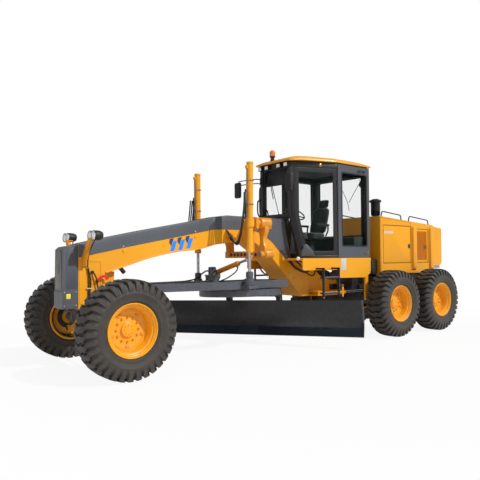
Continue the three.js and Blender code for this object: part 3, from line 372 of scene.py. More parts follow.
def maths(tree, operation, first, second=0.0, clamp=False):
    return put(tree, "ShaderNodeMath", {0: first, 1: second}, operation=operation, use_clamp=clamp).outputs[0]


def blend_colour(tree, share, first, second):
    """The second colour over the first, by a share from 0 to 1."""
    return put(tree, "ShaderNodeMix", {0: share, 6: first, 7: second}, data_type="RGBA").outputs[2]


def ramp(tree, value, low, high, to_low=0.0, to_high=1.0):
    """A value's range stretched and held between two ends."""
    return put(tree, "ShaderNodeMapRange", {0: value, 1: low, 2: high, 3: to_low, 4: to_high}).outputs[0]


def noise(tree, vector, scale, detail=3.0, rough=0.5):
    return put(tree, "ShaderNodeTexNoise",
               {"Vector": vector, "Scale": scale, "Detail": detail, "Roughness": rough}).outputs[0]


def effect(name, **values):
    """A shader group that reads a Vector and its own named inputs, given here with their values. It
    returns the tree, its inputs, and a function that joins its colour, roughness and bump height."""
    tree = bpy.data.node_groups.new(name, "ShaderNodeTree")
    tree.interface.new_socket(name="Vector", in_out="INPUT", socket_type="NodeSocketVector")
    for label, value in values.items():
        kind = "NodeSocketFloat" if isinstance(value, float) else "NodeSocketColor"
        tree.interface.new_socket(name=label, in_out="INPUT", socket_type=kind).default_value = value
    for label, kind in (("Colour", "NodeSocketColor"), ("Roughness", "NodeSocketFloat"), ("Height", "NodeSocketFloat")):
        tree.interface.new_socket(name=label, in_out="OUTPUT", socket_type=kind)
    given, result = tree.nodes.new("NodeGroupInput"), tree.nodes.new("NodeGroupOutput")

    def close(*sockets):
        for socket, end in zip(sockets, result.inputs):
            tree.links.new(socket, end)
        return tree

    return tree, given.outputs, close


def make_worn_paint():
    """Paint that has faded in soft patches, gathered dust low down and chipped along its edges.
    Colour: paint, then faded paint by a broad noise, then dust by height and a fine noise, then
    bare metal where the edge mask meets a sharp noise. Height is a fine orange peel."""
    tree, g, close = effect("worn paint", Paint=(0.8, 0.4, 0.1, 1), Faded=(0.8, 0.5, 0.2, 1), Dirt=(0.2, 0.15, 0.1, 1),
                            Metal=(0.2, 0.2, 0.2, 1), Edge=0.0, Wear=0.5, Dust=0.5, Gloss=0.35, Grain=180.0)
    cloud = ramp(tree, noise(tree, g["Vector"], 1.1, 4.0), 0.35, 0.7)
    streak = put(tree, "ShaderNodeMapping", {"Vector": g["Vector"], "Scale": (9.0, 9.0, 0.7)})
    run = ramp(tree, noise(tree, streak.outputs[0], 1.0, 3.0), 0.5, 0.78)
    height = put(tree, "ShaderNodeSeparateXYZ", {0: g["Vector"]}).outputs[2]
    low = ramp(tree, height, 1.3, 0.15, 0.10, 1.0)
    speck = ramp(tree, noise(tree, g["Vector"], 16.0, 6.0, 0.6), 0.42, 0.72)
    dust = maths(tree, "MULTIPLY", maths(tree, "MULTIPLY", low, speck), g["Dust"], True)
    chip = ramp(tree, noise(tree, g["Vector"], 60.0, 5.0, 0.7), 0.52, 0.6)
    chip = maths(tree, "MULTIPLY", maths(tree, "MULTIPLY", chip, g["Edge"]), g["Wear"], True)
    fade = maths(tree, "ADD", maths(tree, "MULTIPLY", cloud, 0.55), maths(tree, "MULTIPLY", run, 0.25), True)
    colour = blend_colour(tree, fade, g["Paint"], g["Faded"])
    colour = blend_colour(tree, dust, colour, g["Dirt"])
    colour = blend_colour(tree, chip, colour, g["Metal"])
    rough = maths(tree, "ADD", g["Gloss"], maths(tree, "MULTIPLY", dust, 0.35))
    rough = maths(tree, "ADD", rough, maths(tree, "MULTIPLY", cloud, 0.07), True)
    peel = put(tree, "ShaderNodeTexNoise", {"Vector": g["Vector"], "Scale": g["Grain"], "Detail": 2.0}).outputs[0]
    raised = maths(tree, "SUBTRACT", peel, maths(tree, "MULTIPLY", chip, 0.8))
    return close(colour, rough, raised)


def make_brushed():
    """Fine lines along one direction with small scratches: a noise stretched along Z gives the
    grain, a second, broader one the smears."""
    tree, g, close = effect("brushed grain", Metal=(0.6, 0.6, 0.6, 1), Smear=(0.3, 0.3, 0.3, 1), Gloss=0.2, Amount=0.3)
    drawn = put(tree, "ShaderNodeMapping", {"Vector": g["Vector"], "Scale": (260.0, 260.0, 6.0)})
    grain = noise(tree, drawn.outputs[0], 1.0, 2.0)
    smear = ramp(tree, noise(tree, g["Vector"], 7.0, 5.0), 0.45, 0.75)
    colour = blend_colour(tree, maths(tree, "MULTIPLY", smear, g["Amount"]), g["Metal"], g["Smear"])
    rough = maths(tree, "ADD", g["Gloss"], maths(tree, "MULTIPLY", grain, 0.12))
    rough = maths(tree, "ADD", rough, maths(tree, "MULTIPLY", smear, 0.18), True)
    return close(colour, rough, grain)


def make_dusty():
    """Rubber or plastic with a film of dust where a broad noise gathers it; where the groove mask is
    high the film is thinned, which darkens the grooves as painted shade. Height is a fine pebble."""
    tree, g, close = effect("dusty film", Base=(0.02, 0.02, 0.02, 1), Film=(0.2, 0.15, 0.1, 1), Groove=0.0, Amount=0.4,
                            Gloss=0.6, Pebble=320.0)
    broad = ramp(tree, noise(tree, g["Vector"], 3.5, 6.0, 0.6), 0.35, 0.7)
    fine = ramp(tree, noise(tree, g["Vector"], 45.0, 4.0, 0.65), 0.3, 0.8)
    film = maths(tree, "MULTIPLY", maths(tree, "ADD", maths(tree, "MULTIPLY", broad, 0.7),
                                         maths(tree, "MULTIPLY", fine, 0.3)), g["Amount"])
    # Painted shade: the film is thinned in deep grooves, so they render darker.
    film = maths(tree, "ADD", film, maths(tree, "MULTIPLY", g["Groove"], -0.15), True)
    colour = blend_colour(tree, film, g["Base"], g["Film"])
    rough = maths(tree, "ADD", g["Gloss"], maths(tree, "MULTIPLY", film, 0.3), True)
    pebble = put(tree, "ShaderNodeTexNoise", {"Vector": g["Vector"], "Scale": g["Pebble"], "Detail": 2.0}).outputs[0]
    return close(colour, rough, pebble)


def make_weave():
    """Woven cloth: two sets of bands at right angles, each a sine of one coordinate, raised where
    they cross; the thread's colour varies by a noise."""
    tree, g, close = effect("weave", Thread=(0.02, 0.02, 0.02, 1), Light=(0.06, 0.06, 0.06, 1), Count=900.0)
    parts = put(tree, "ShaderNodeSeparateXYZ", {0: g["Vector"]})
    along = maths(tree, "ADD", parts.outputs[0], parts.outputs[2])
    warp = maths(tree, "SINE", maths(tree, "MULTIPLY", along, g["Count"]))
    weft = maths(tree, "SINE", maths(tree, "MULTIPLY", parts.outputs[1], g["Count"]))
    over = ramp(tree, maths(tree, "MULTIPLY", warp, weft), -1.0, 1.0)
    soft = noise(tree, g["Vector"], 14.0, 4.0)
    share = maths(tree, "MULTIPLY", maths(tree, "ADD", over, soft), 0.5, True)
    colour = blend_colour(tree, share, g["Thread"], g["Light"])
    rough = ramp(tree, over, 0.0, 1.0, 0.95, 0.8)
    return close(colour, rough, over)


GROUPS = {"paint": make_worn_paint(), "brushed": make_brushed(), "dusty": make_dusty(), "weave": make_weave()}


def material(name, slot, group, values, bump, mask=None, **shader):
    """A material of one Principled shader: a group gives its colour, roughness and bump height,
    read from Object coordinates. Bump is (strength, distance) and mask is (the group's socket, the mesh
    attribute it reads); slot is not used."""
    made = bpy.data.materials.new(name)
    made.use_nodes = True
    tree = made.node_tree
    surface = tree.nodes["Principled BSDF"]
    place = tree.nodes.new("ShaderNodeTexCoord").outputs["Object"]
    source = put(tree, "ShaderNodeGroup", {}, node_tree=GROUPS[group])
    tree.links.new(place, source.inputs["Vector"])
    for label, value in values.items():
        source.inputs[label].default_value = value
    if mask:
        read = put(tree, "ShaderNodeAttribute", {}, attribute_name=mask[1])
        tree.links.new(read.outputs["Fac"], source.inputs[mask[0]])
    tree.links.new(source.outputs["Colour"], surface.inputs["Base Color"])
    tree.links.new(source.outputs["Roughness"], surface.inputs["Roughness"])
    relief = put(tree, "ShaderNodeBump", {"Height": source.outputs["Height"], "Strength": bump[0], "Distance": bump[1]})
    tree.links.new(relief.outputs["Normal"], surface.inputs["Normal"])
    for label, value in shader.items():
        surface.inputs[label.replace("_", " ")].default_value = value
    return made


DIRT, WORN_METAL = srgb(150, 128, 100), srgb(96, 90, 84)


def paint(name, slot, colour, faded, gloss=0.38, dust=0.3, wear=0.5, coat=0.08):
    """Glossy paint over steel, with the shared wear at this piece's own strength."""
    return material(name, slot, "paint", {"Paint": srgb(*colour), "Faded": srgb(*faded), "Dirt": DIRT,
                                          "Metal": WORN_METAL, "Wear": wear, "Dust": dust, "Gloss": gloss},
                    (0.05, 0.002), ("Edge", "edge"), Coat_Weight=coat, Coat_Roughness=0.12)


def brushed(name, slot, metal, smear, gloss, amount, bump, **shader):
    """Metal, or a lens or glass, with fine drawn lines and smears of a second colour."""
    return material(name, slot, "brushed", {"Metal": srgb(*metal), "Smear": srgb(*smear), "Gloss": gloss,
                                            "Amount": amount}, bump, **shader)


def dusty(name, slot, base, film, amount, gloss, bump, mask=None, pebble=320.0, **shader):
    """Rubber, plastic or grip plate under a film of dust."""
    return material(name, slot, "dusty", {"Base": srgb(*base), "Film": srgb(*film), "Amount": amount, "Gloss": gloss,
                                          "Pebble": pebble}, bump, mask, **shader)


YELLOW = paint("yellow paint", "yellow_paint", (241, 163, 8), (244, 169, 20))
# A darker copy of the yellow paint: painted shade on parts that sit under or behind others (axle, saddle, lamp
# brackets, wheel nuts, cylinder ports, louvres, skirts, hinges); its heavier dust is real dirt.
YELLOW_SHADED = paint("yellow paint darkened for painted shade", "yellow_paint", (226, 143, 8), (231, 150, 20), gloss=0.44, dust=0.5)
SLATE = paint("slate paint", "grey_paint", (80, 85, 92), (92, 97, 104), dust=0.35)
SLATE_PANEL = paint("slate panel paint", "grey_paint", (76, 80, 88), (86, 90, 97), gloss=0.4)
# The nose's front plates: their own grey paint, lightened and warmed as a painted reflection of light on the shaded
# front face.
NOSE_REFLECTED = paint("nose plate paint lightened for painted reflection", "grey_paint", (104, 98, 92), (118, 112, 104), gloss=0.42)
DARK_GEAR = paint("dark gear paint", "grey_paint", (72, 77, 87), (88, 92, 101), gloss=0.42, dust=0.7, wear=0.8)
BLACK = paint("black paint", "black_paint", (30, 31, 34), (40, 41, 44), gloss=0.36, dust=0.35, coat=0.15)
BLADE = paint("blade coating", "blade_steel", (20, 22, 25), (24, 27, 31), gloss=0.34, dust=0.08, coat=0.1)
STRIPE = paint("blue stripe paint", "yellow_paint", (16, 140, 248), (40, 150, 250), gloss=0.3)
STRIPE_TOP = paint("dark stripe paint", "grey_paint", (58, 66, 84), (68, 76, 92), gloss=0.3)
BLUE_GREY = paint("blue grey strip paint", "grey_paint", (120, 134, 158), (134, 146, 166))
PALE = paint("pale plate paint", "bare_steel", (205, 205, 200), (188, 188, 184), gloss=0.4)
SAFETY = paint("small yellow plate paint", "yellow_paint", (250, 228, 40), (244, 220, 60), gloss=0.4)
RED = paint("red handle paint", "yellow_paint", (222, 36, 30), (230, 60, 50), gloss=0.3)
CHROME = brushed("chromed rod", "chrome", (205, 207, 210), (120, 120, 124), 0.1, 0.25, (0.02, 0.001), Metallic=1.0)
STEEL = brushed("machined steel", "bare_steel", (150, 151, 154), (92, 88, 84), 0.3, 0.5, (0.05, 0.001), Metallic=1.0)
ZINC = brushed("zinc bolts", "bare_steel", (196, 194, 186), (130, 120, 100), 0.28, 0.5, (0.05, 0.001), Metallic=1.0)
BRASS = brushed("brass catch", "bare_steel", (190, 150, 80), (110, 84, 44), 0.28, 0.5, (0.05, 0.001), Metallic=1.0)
EDGE_STEEL = brushed("cutting edge steel", "blade_steel", (30, 38, 52), (24, 30, 40), 0.36, 0.7, (0.08, 0.001),
                     Metallic=0.6)
LENS = brushed("lamp lens", "chrome", (246, 246, 248), (200, 204, 210), 0.05, 0.3, (0.4, 0.003), Coat_Weight=1.0)
AMBER = brushed("amber lens", "yellow_paint", (250, 120, 20), (226, 84, 10), 0.15, 0.5, (0.4, 0.003), Coat_Weight=1.0)
MIRROR = brushed("mirror glass", "chrome", (210, 214, 218), (180, 184, 188), 0.03, 0.2, (0.01, 0.001), Metallic=1.0)
GLASS = brushed("tinted glass", "tinted_glass", (20, 60, 48), (28, 70, 58), 0.02, 0.2, (0.0, 0.001), Alpha=0.045,
                IOR=1.45)
# The groove attribute darkens the tyre's grooves as painted shade.
TYRE = dusty("tyre rubber", "tyre_rubber", (44, 41, 38), (94, 84, 72), 0.36, 0.6, (0.25, 0.002), ("Groove", "groove"),
             Sheen_Weight=0.1)
HOSE = dusty("hose rubber", "black_plastic", (24, 24, 26), (70, 66, 60), 0.25, 0.45, (0.15, 0.001))
PLASTIC = dusty("moulded black plastic", "black_plastic", (27, 28, 30), (60, 58, 55), 0.25, 0.5, (0.12, 0.001))
TREAD_PLATE = dusty("grip plate", "grey_paint", (150, 152, 158), (120, 116, 108), 0.5, 0.6, (0.9, 0.004), pebble=240.0)
LINING = dusty("cab lining", "black_plastic", (36, 44, 42), (54, 62, 58), 0.3, 0.75, (0.3, 0.001))
CLOTH = material("seat cloth", "seat_cloth", "weave", {"Thread": srgb(20, 22, 24), "Light": srgb(48, 50, 54),
                                                       "Count": 1400.0}, (0.5, 0.001), Sheen_Weight=0.4)


# ------------------------------------------------------------------ pieces
def build_mesh(name, shells, sharp=38):
    """One mesh from several shells: poles are merged, smooth but for edges sharper than an angle."""
    points = np.concatenate([p for p, _ in shells])
    faces, start = [], 0
    for p, blocks in shells:
        for rows in blocks:
            faces += (rows + start).tolist()
        start += len(p)
    mesh = bpy.data.meshes.new(name)
    mesh.from_pydata(points.tolist(), [], faces)
    work = bmesh.new()
    work.from_mesh(mesh)
    bmesh.ops.remove_doubles(work, verts=work.verts, dist=1e-6)
    bmesh.ops.dissolve_degenerate(work, edges=work.edges, dist=1e-7)
    work.to_mesh(mesh)
    work.free()
    mesh.polygons.foreach_set("use_smooth", np.ones(len(mesh.polygons), bool))
    mesh.set_sharp_from_angle(angle=math.radians(sharp))
    return mesh


SHARP_ANGLE, SHORT_EDGE = 0.49, 8 * MM


def linked(name, data, *finishes):
    """An object in the scene, with its mesh's finishes or other data."""
    made = bpy.data.objects.new(name, data)
    bpy.context.scene.collection.objects.link(made)
    for finish in finishes:
        data.materials.append(finish)
    return made


def piece(name, shells, finish, body, replaces=None, sharp=38):
    """A new piece that rides on a body, with its finish, and perhaps stands for a CAD node."""
    made = linked(name, build_mesh(name, shells, sharp), finish)
    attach(made, body)
    if replaces:
        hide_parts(replaces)


def drape(name, hoses):
    """Hoses from the front frame to a body that swings on it: one mesh with its place baked in, on no body."""
    made = linked(name, build_mesh(name, hoses), HOSE)
    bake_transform(made)


def softened(node, finish, width=4.0, body=None):
    """A CAD node's own shape with its sharp edges rounded: the copy is merged, flat faces are
    joined, and edges over 28 degrees get a small round that carries the edge mask. It rides on the
    body of its own name, or on the one given."""
    work = bmesh.new()
    work.from_mesh(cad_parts[node].data)
    bmesh.ops.remove_doubles(work, verts=work.verts, dist=2e-5)
    bmesh.ops.dissolve_limit(work, angle_limit=math.radians(1.0), verts=work.verts, edges=work.edges)
    sharp = [e for e in work.edges
             if len(e.link_faces) == 2 and e.calc_face_angle(0) > SHARP_ANGLE and e.calc_length() > SHORT_EDGE]
    before = work.faces.layers.int.new("old")
    for face in work.faces:
        face[before] = 1
    rounded_ = bmesh.ops.bevel(work, geom=sharp, offset=width * MM, offset_type="OFFSET", segments=2, profile=0.6,
                               affect="EDGES", clamp_overlap=True)
    for face in rounded_["faces"]:
        face[before] = 0
    mesh = bpy.data.meshes.new(node + "_finish")
    work.to_mesh(mesh)
    work.free()
    kept = np.zeros(len(mesh.polygons), np.int32)
    mesh.attributes["old"].data.foreach_get("value", kept)
    mesh.attributes.remove(mesh.attributes["old"])
    edge = mesh.attributes.new("edge", "FLOAT", "FACE")
    edge.data.foreach_set("value", (kept == 0).astype(np.float32))
    mesh.polygons.foreach_set("use_smooth", np.ones(len(mesh.polygons), bool))
    mesh.set_sharp_from_angle(angle=math.radians(46))
    made = linked(mesh.name, mesh, finish)
    made.modifiers.new("steady", "WEIGHTED_NORMAL").keep_sharp = True
    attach(made, body or node)
    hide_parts(node)


# ------------------------------------------------------------------ wheels
LUGS = 34
HUB_HEIGHT = 674
TANDEM = (-5920, -7440)


def wheel_at(label):
    low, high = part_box(f"rim_{label}")
    return np.array([(low.x + high.x) / 2, (low.y + high.y) / 2, (low.z + high.z) / 2])


def tyre_shell(centre):
    """Radius over a grid of lug phase and width: a half section from bead over sidewall to crown,
    less a groove depth taken along the section's normal. The phase is sheared by a chevron with a
    wave, so that grid lines follow the lugs' edges; lugs narrow from crown to shoulder and the groove
    fades down the sidewall."""
    half = np.array([[336, 150], [345, 168], [367, 172], [374, 182], [392, 192], [398, 199], [404, 197], [440, 211],
                     [478, 219], [486, 223], [496, 223], [502, 219], [512, 220], [535, 221], [560, 219], [590, 213],
                     [618, 204], [636, 196], [652, 184], [663, 168], [668, 150], [671, 120], [673, 90], [674, 60],
                     [674, 30], [674, 0]])
    section = np.concatenate([half, half[-2::-1] * [1, -1]])
    r, y = section[:, 0], section[:, 1]
    slope = np.gradient(section, axis=0)
    slope /= np.linalg.norm(slope, axis=1)[:, None]
    crown = np.clip(np.abs(y) / 200, 0, 1)
    depth = np.interp(r, [504, 535, 590, 636, 668, 674], [0, 14, 26, 36, 46, 38])
    depth = depth * np.interp(crown, [0, 0.25, 1], [0.6, 1, 1])
    share = np.interp(crown, [0, 0.35, 1], [0.8, 0.62, 0.52])
    shift = 0.62 * crown**1.2 + 0.11 * np.sin(y / 26.0)
    steps = np.array([0.0, 0.02, 0.35, 0.65, 0.98, 1.0, 1.0, 1.0])
    into = np.array([0, 0, 0, 0, 0, 0.22, 0.55, 0.88])
    phase = steps[:, None] * share + into[:, None] * (1 - share)
    drop = np.array([0.12, 0, 0, 0, 0, 1.0, 1.0, 1.0])[:, None] * depth
    phase = (np.arange(LUGS)[:, None, None] + phase[None]).reshape(-1, len(y))
    drop = np.tile(drop, (LUGS, 1))
    angle = (phase + shift) * 2 * np.pi / LUGS
    radius = (r + drop * slope[:, 1]) * MM
    rows = np.stack([radius * np.cos(angle), (y - drop * slope[:, 0]) * MM, radius * np.sin(angle)], -1) + centre
    # Groove depth, read by the tyre finish to darken the grooves as painted shade.
    groove = np.clip(drop / 30, 0, 1)
    return loops(rows, ring=True, caps=False), groove.reshape(-1)


def add_tyre(label, body):
    shell, groove = tyre_shell(wheel_at(label))
    points, faces = shell
    mesh = bpy.data.meshes.new(f"tyre_tread_{label}")
    mesh.from_pydata(points.tolist(), [], [f for block_ in faces for f in block_.tolist()])
    mesh.attributes.new("groove", "FLOAT", "POINT").data.foreach_set("value", groove.astype(np.float32))
    mesh.polygons.foreach_set("use_smooth", np.ones(len(mesh.polygons), bool))
    mesh.set_sharp_from_angle(angle=math.radians(40))
    made = linked(mesh.name, mesh, TYRE)
    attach(made, body)
    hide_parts(f"tyre_{label}")


def add_rim(label, body, side):
    """A dished wheel turned about the axle: flange, bead seat, barrel, coned disc with holes' bosses
    and hub, with nuts and bolts set round it."""
    centre = wheel_at(label)
    out = (0, side, 0)
    profile = [[0, 40], [84, 40], [96, 34], [100, 12], [124, 4], [196, 0], [208, 4], [262, 10], [278, 16], [286, 34],
               [290, 110], [300, 128], [318, 136], [324, 160], [334, 164], [341, 172], [345, 183], [352, 189],
               [360, 188], [365, 180], [364, 170], [352, 170], [334, 168], [330, 150], [330, -150], [336, -170],
               [360, -171], [365, -180], [356, -189], [345, -186], [316, -170], [314, -36], [160, -40], [0, -40]]
    body_shell = turned(profile, centre, out, 72)
    nut = turned([[0, 0], [19, 0], [19, 3], [14, 3], [14, 15], [11, 18], [8, 18], [8, 26], [0, 26]],
                 centre + np.array([0.162, 0.001 * side, 0]), out, 6)
    small = turned([[0, 0], [8, 0], [8, 7], [6, 9], [0, 9]], centre + np.array([0.062, 0.038 * side, 0]), out, 6)
    lip = turned([[250, 4], [268, 4], [272, 14], [268, 20], [250, 20], [246, 14]], centre, out, 72, ring=True)
    pads = turned([[0, 0], [30, 0], [30, 10], [24, 14], [0, 14]], centre + np.array([0.232, 0.004 * side, 0]), out, 16)
    piece(f"wheel_rim_{label}", [body_shell, lip], YELLOW, body, f"rim_{label}", sharp=30)
    # A black disc over the rim's inner side: painted shade for the dark hollow behind the wheel.
    inner_shade = [[122, -42], [160, -37], [288, -24], [310, -42], [312, -166], [334, -190], [326, -190], [307, -170],
             [305, -48], [286, -30], [160, -43], [122, -48]]
    piece(f"wheel_inner_shade_{label}", [turned(inner_shade, centre, out, 60, ring=True)], BLACK, body)
    piece(f"wheel_nuts_{label}", [around(nut, centre, out, 12), around(small, centre, out, 8),
                                  around(pads, centre, out, 5, 0.3)], YELLOW_SHADED, body)


def add_wheels():
    for side, s in SIDES:
        for axle in ("front", "mid", "rear"):
            add_tyre(f"{axle}_{side}", f"wheel_{axle}_{side}")
            add_rim(f"{axle}_{side}", f"wheel_{axle}_{side}", s)


# ------------------------------------------------------------------ front frame
NECK_TOP = [(318, 1825), (-50, 1910), (-730, 2050), (-1680, 2230), (-2010, 2300), (-2280, 2350), (-3640, 2340)]
NECK_HALF, FRAME_HALF = 170, 260
PAINT_LINE = [(318, 1636), (290, 1640), (-380, 1780), (-1680, 2030), (-2010, 2100), (-2420, 2110), (-2600, 2108)]


def level_at(line, x):
    """Height of a broken line at stations, between its points."""
    line = np.array(sorted(line), float)
    return np.interp(x, line[:, 0], line[:, 1])


def neck_half(x):
    """Half width of the gooseneck: narrow in front, widening past its bend."""
    return np.interp(x, [-2000, -1750], [FRAME_HALF, NECK_HALF])


def add_neck_cover():
    """The dark cover: at each station a cap over the top, down both sides to the paint line, five
    millimetres proud; rows of a grid given a thin wall."""
    x = np.unique(np.concatenate([np.linspace(-2700, 317, 60), [-2280, -2010, -2000, -1750, -1680, -730, -50]]))
    top, low, half = level_at(NECK_TOP, x) + 3, level_at(PAINT_LINE, x), neck_half(x) + 2.5
    across = np.array([-1, -1, -1, -0.985, -0.9, -0.5, 0, 0.5, 0.9, 0.985, 1, 1, 1])
    share = np.array([0, 0.5, 0.94, 1, 1, 1, 1, 1, 1, 1, 0.94, 0.5, 0])
    y = half[:, None] * across
    z = low[:, None] + (top - low)[:, None] * share
    grid = at(np.stack([np.broadcast_to(x[:, None], y.shape), y, z], -1))
    piece("neck_cover", [skin(grid, 0.004)], SLATE, "front", sharp=30)


def add_side_covers():
    """Dark plates on the gooseneck's flanks below the cab's front, with a curved lower edge."""
    low = fill_smooth([(-2600, 2108, 0), (-2900, 2100, 0), (-3090, 2043, 0), (-3339, 1900, 0), (-3500, 1750, 0),
                       (-3640, 1620, 0), (-3740, 1545, 0)], 6)[:, :2]
    top = [(-3800, 1612), (-3637, 2330), (-3632, 2343), (-2600, 2347)]
    line = np.concatenate([low, np.array(top, float)])
    for label, s in SIDES:
        plate = slab(line, s * FRAME_HALF, s * 268, "y", 2)
        piece(f"flank_cover_{label}", [plate], SLATE, "front", sharp=30)
        places = [(x, s * 268, z)
                  for x, z in ((-2700, 2140), (-3140, 2060), (-3560, 1760), (-2700, 2310), (-3580, 2310))]
        piece(f"flank_cover_bolts_{label}", [bolts(places, (0, s, 0), 9, 7)], ZINC, "front")
    grid_x = np.linspace(-3632, -2600, 8)
    rows = np.stack([np.broadcast_to(grid_x[:, None], (8, 9)), np.broadcast_to(np.linspace(-262, 262, 9), (8, 9)),
                     np.broadcast_to(level_at(NECK_TOP, grid_x)[:, None] + 3, (8, 9))], -1)
    piece("flank_cover_top", [skin(at(rows), 0.004)], SLATE, "front")


def add_stripes():
    """Three slanted blue bars with a dark wedge before each: thin parallelograms standing off the
    paint, leaning forward at the top."""
    for label, s in SIDES:
        blue, dark = [], []
        face = (s * NECK_HALF, s * 172)
        for k in range(3):
            x, low, mid = -1231 - 156 * k, 1721 + 27 * k, 1897 + 24 * k
            blue.append(slab([(x + 34, low), (x - 44, low + 6), (x - 104, mid + 8), (x - 26, mid)], *face, "y", 0.5))
            dark.append(slab([(x + 39, mid + 30), (x - 43, mid + 45), (x - 19, mid - 4), (x + 9, mid - 87),
                              (x + 49, mid - 27)],
                             *face, "y", 0.5))
        piece(f"stripes_blue_{label}", blue, STRIPE, "front")
        piece(f"stripes_dark_{label}", dark, STRIPE_TOP, "front")


def add_neck_flange():
    """The bottom plate of the gooseneck stands out past its sides: a flat bar carried along the
    lower line on each side, with a weld bead above it."""
    line = np.array([(-95, 1402), (-400, 1492), (-860, 1628), (-1330, 1718), (-1730, 1758), (-2010, 1838)], float)
    fine = fill_smooth(np.concatenate([line, np.zeros((len(line), 1))], 1), 4)[:, :2]
    for label, s in SIDES:
        y = s * (neck_half(fine[:, 0]) + 8)
        path = at(np.stack([fine[:, 0], y, fine[:, 1] + 8], -1))
        bar = carried(np.array(rect(-11, 11, -9, 9, 3, 2)) * MM, path, up=UP)
        bead = carried(circle(5 * MM, 6), path + np.array([0, -s * 0.006, 0.012]), up=UP)
        piece(f"neck_flange_{label}", [bar, bead], YELLOW, "front")


def add_front_frame():
    softened("front_frame", YELLOW, 6, "front")
    add_neck_cover()
    add_side_covers()
    add_stripes()
    add_neck_flange()
    plates = [border(rect(-40, 300, 960, 1600, 30), rect(-15, 272, 985, 1572, 24), s * NECK_HALF, s * 176)
              for _, s in SIDES]
    piece("neck_end_plates", plates, YELLOW, "front")
    for label, s in SIDES:
        ribs = [slab([(-3420, 1480), (-3400, 1500), (-4030, 905), (-4050, 885)], s * 258, s * 270, "y", 3),
                slab(rect(-4300, -4280, 880, 1480), s * 258, s * 274, "y", 3)]
        piece(f"frame_ribs_{label}", ribs, YELLOW, "front")
        spots = [(-3760, s * 258, 1330), (-3900, s * 258, 1220), (-4150, s * 258, 1000), (-4500, s * 258, 1000)]
        piece(f"frame_bolts_{label}", [bolts(spots, (0, s, 0), 12, 9)], ZINC, "front")
        bosses = [turned([[0, 0], [34, 0], [34, 8], [20, 10], [0, 10]], at((x, s * 171, z)), (0, s, 0), 20)
                  for x, z in ((-400, 1740), (-1700, 1985))]
        piece(f"frame_bosses_{label}", bosses, YELLOW, "front")
        dots = [(-380, s * 173.5, 1800), (-1690, s * 173.5, 2062)]
        piece(f"cover_bolts_{label}", [bolts(dots, (0, s, 0), 12, 8)], ZINC, "front")


def add_nose():
    """The dark nose block, with a rounded front plate and a heavier lower plate."""
    softened("nose_block", SLATE, 14, "front")
    upper = rounded([(-118, 1180), (118, 1180), (112, 1600), (92, 1735), (-92, 1735), (-112, 1600)], 40)
    plate = slab(upper, 540, 546, "x", 2)
    points, faces = turned([[0, 0], [1, 0], [1, 3], [0, 3]], (0, 0, 0), AHEAD, 32)
    emblem = (points * np.array([1, 45, 78]) + at((546, 0, 1480)), faces)
    lower = slab(rect(-150, 150, 925, 1135, 14), 548, 550, "x", 0.8)
    piece("nose_plate", [plate, lower], NOSE_REFLECTED, "front")
    piece("nose_emblem_blank", [emblem], SLATE_PANEL, "front")
    for label, s in SIDES:
        flank = slab(rounded([(330, 1190), (500, 1190), (500, 1700), (470, 1760), (330, 1780)], 30), s * NECK_HALF,
                     s * 173, "y", 1.2)
        piece(f"nose_flank_{label}", [flank], SLATE_PANEL, "front")
        tag = slab(rect(430, 490, 1050, 1120, 4), s * NECK_HALF, s * 171.5, "y", 0.5)
        piece(f"nose_tag_{label}", [tag], SAFETY, "front")
        screws = [(x, s * 171, z) for x in (350, 520) for z in (950, 1140)]
        piece(f"nose_bolts_{label}", [bolts(screws, (0, s, 0), 9, 6)], ZINC, "front")
    hook = tube([(400, -60, 900), (430, -60, 860), (440, 0, 850), (430, 60, 860), (400, 60, 900)], 12)
    piece("tow_eye", [hook], DARK_GEAR, "front")


def add_headlamps():
    """Twin round lamps on a bent bracket: each a turned shell with a bezel and a ribbed lens."""
    for label, s in SIDES:
        lamps, lenses, rims = [], [], []
        for y in (-66, 66):
            c = at((-40, s * (495 - s * 25) + y, 1944))
            lamps.append(turned([[0, 150], [26, 150], [52, 162], [66, 196], [71, 240], [71, 288], [67, 294], [62, 290],
                                 [58, 282], [0, 282]], c, AHEAD, 32))
            rims.append(turned([[61, 284], [70, 284], [71, 292], [66, 298], [61, 296]], c, AHEAD, 32, ring=True))
            lenses.append(turned([[0, 280], [60, 280], [60, 288], [40, 293], [34, 290], [18, 295], [16, 292], [0, 297]],
                                 c, AHEAD, 32))
        bracket = slab(rounded([(s * 172, 1500), (s * 172, 1630), (s * 405, 1905), (s * 470, 1905), (s * 470, 1880),
                                (s * 235, 1500)], 14),
                       232, 278, "x", 3)
        foot = slab(rect(190, 300, 1495, 1640, 12), s * 171, s * 181, "y", 2)
        hanger = slab(rect(s * 440 - 70, s * 440 + 70, 1884, 1900, 4), 195, 262, "x", 3)
        knob = turned([[0, 0], [16, 0], [16, 14], [0, 14]], at((228, s * 440, 1900)), UP, 12)
        piece(f"lamp_shells_{label}", lamps, PLASTIC, "front", f"headlamps_{label}")
        piece(f"lamp_bezels_{label}", rims, CHROME, "front")
        piece(f"lamp_lenses_{label}", lenses, LENS, "front")
        piece(f"lamp_bracket_{label}", [bracket, foot, hanger, knob], YELLOW_SHADED, "front")
        spots = [(x, s * 181, z) for x in (215, 275) for z in (1520, 1615)]
        piece(f"lamp_bracket_bolts_{label}", [bolts(spots, (0, s, 0), 8, 7)], ZINC, "front")
        cable = tube([(200, s * 440, 1940), (180, s * 420, 1880), (205, s * 340, 1760), (205, s * 250, 1620),
                      (190, s * 200, 1500), (170, s * 186, 1300), (175, s * 184, 1100), (160, s * 184, 960)], 8, 8)
        cable_b = tube([(178, s * 186, 1480), (140, s * 190, 1300), (150, s * 188, 1100), (140, s * 188, 980)], 9, 8)
        piece(f"lamp_cables_{label}", [cable, cable_b], HOSE, "front")
        clips = [slab(rect(120, 200, z, z + 14, 3), s * 176, s * 200, "y", 2) for z in (1180, 1010)]
        piece(f"cable_clips_{label}", clips, PALE, "front")


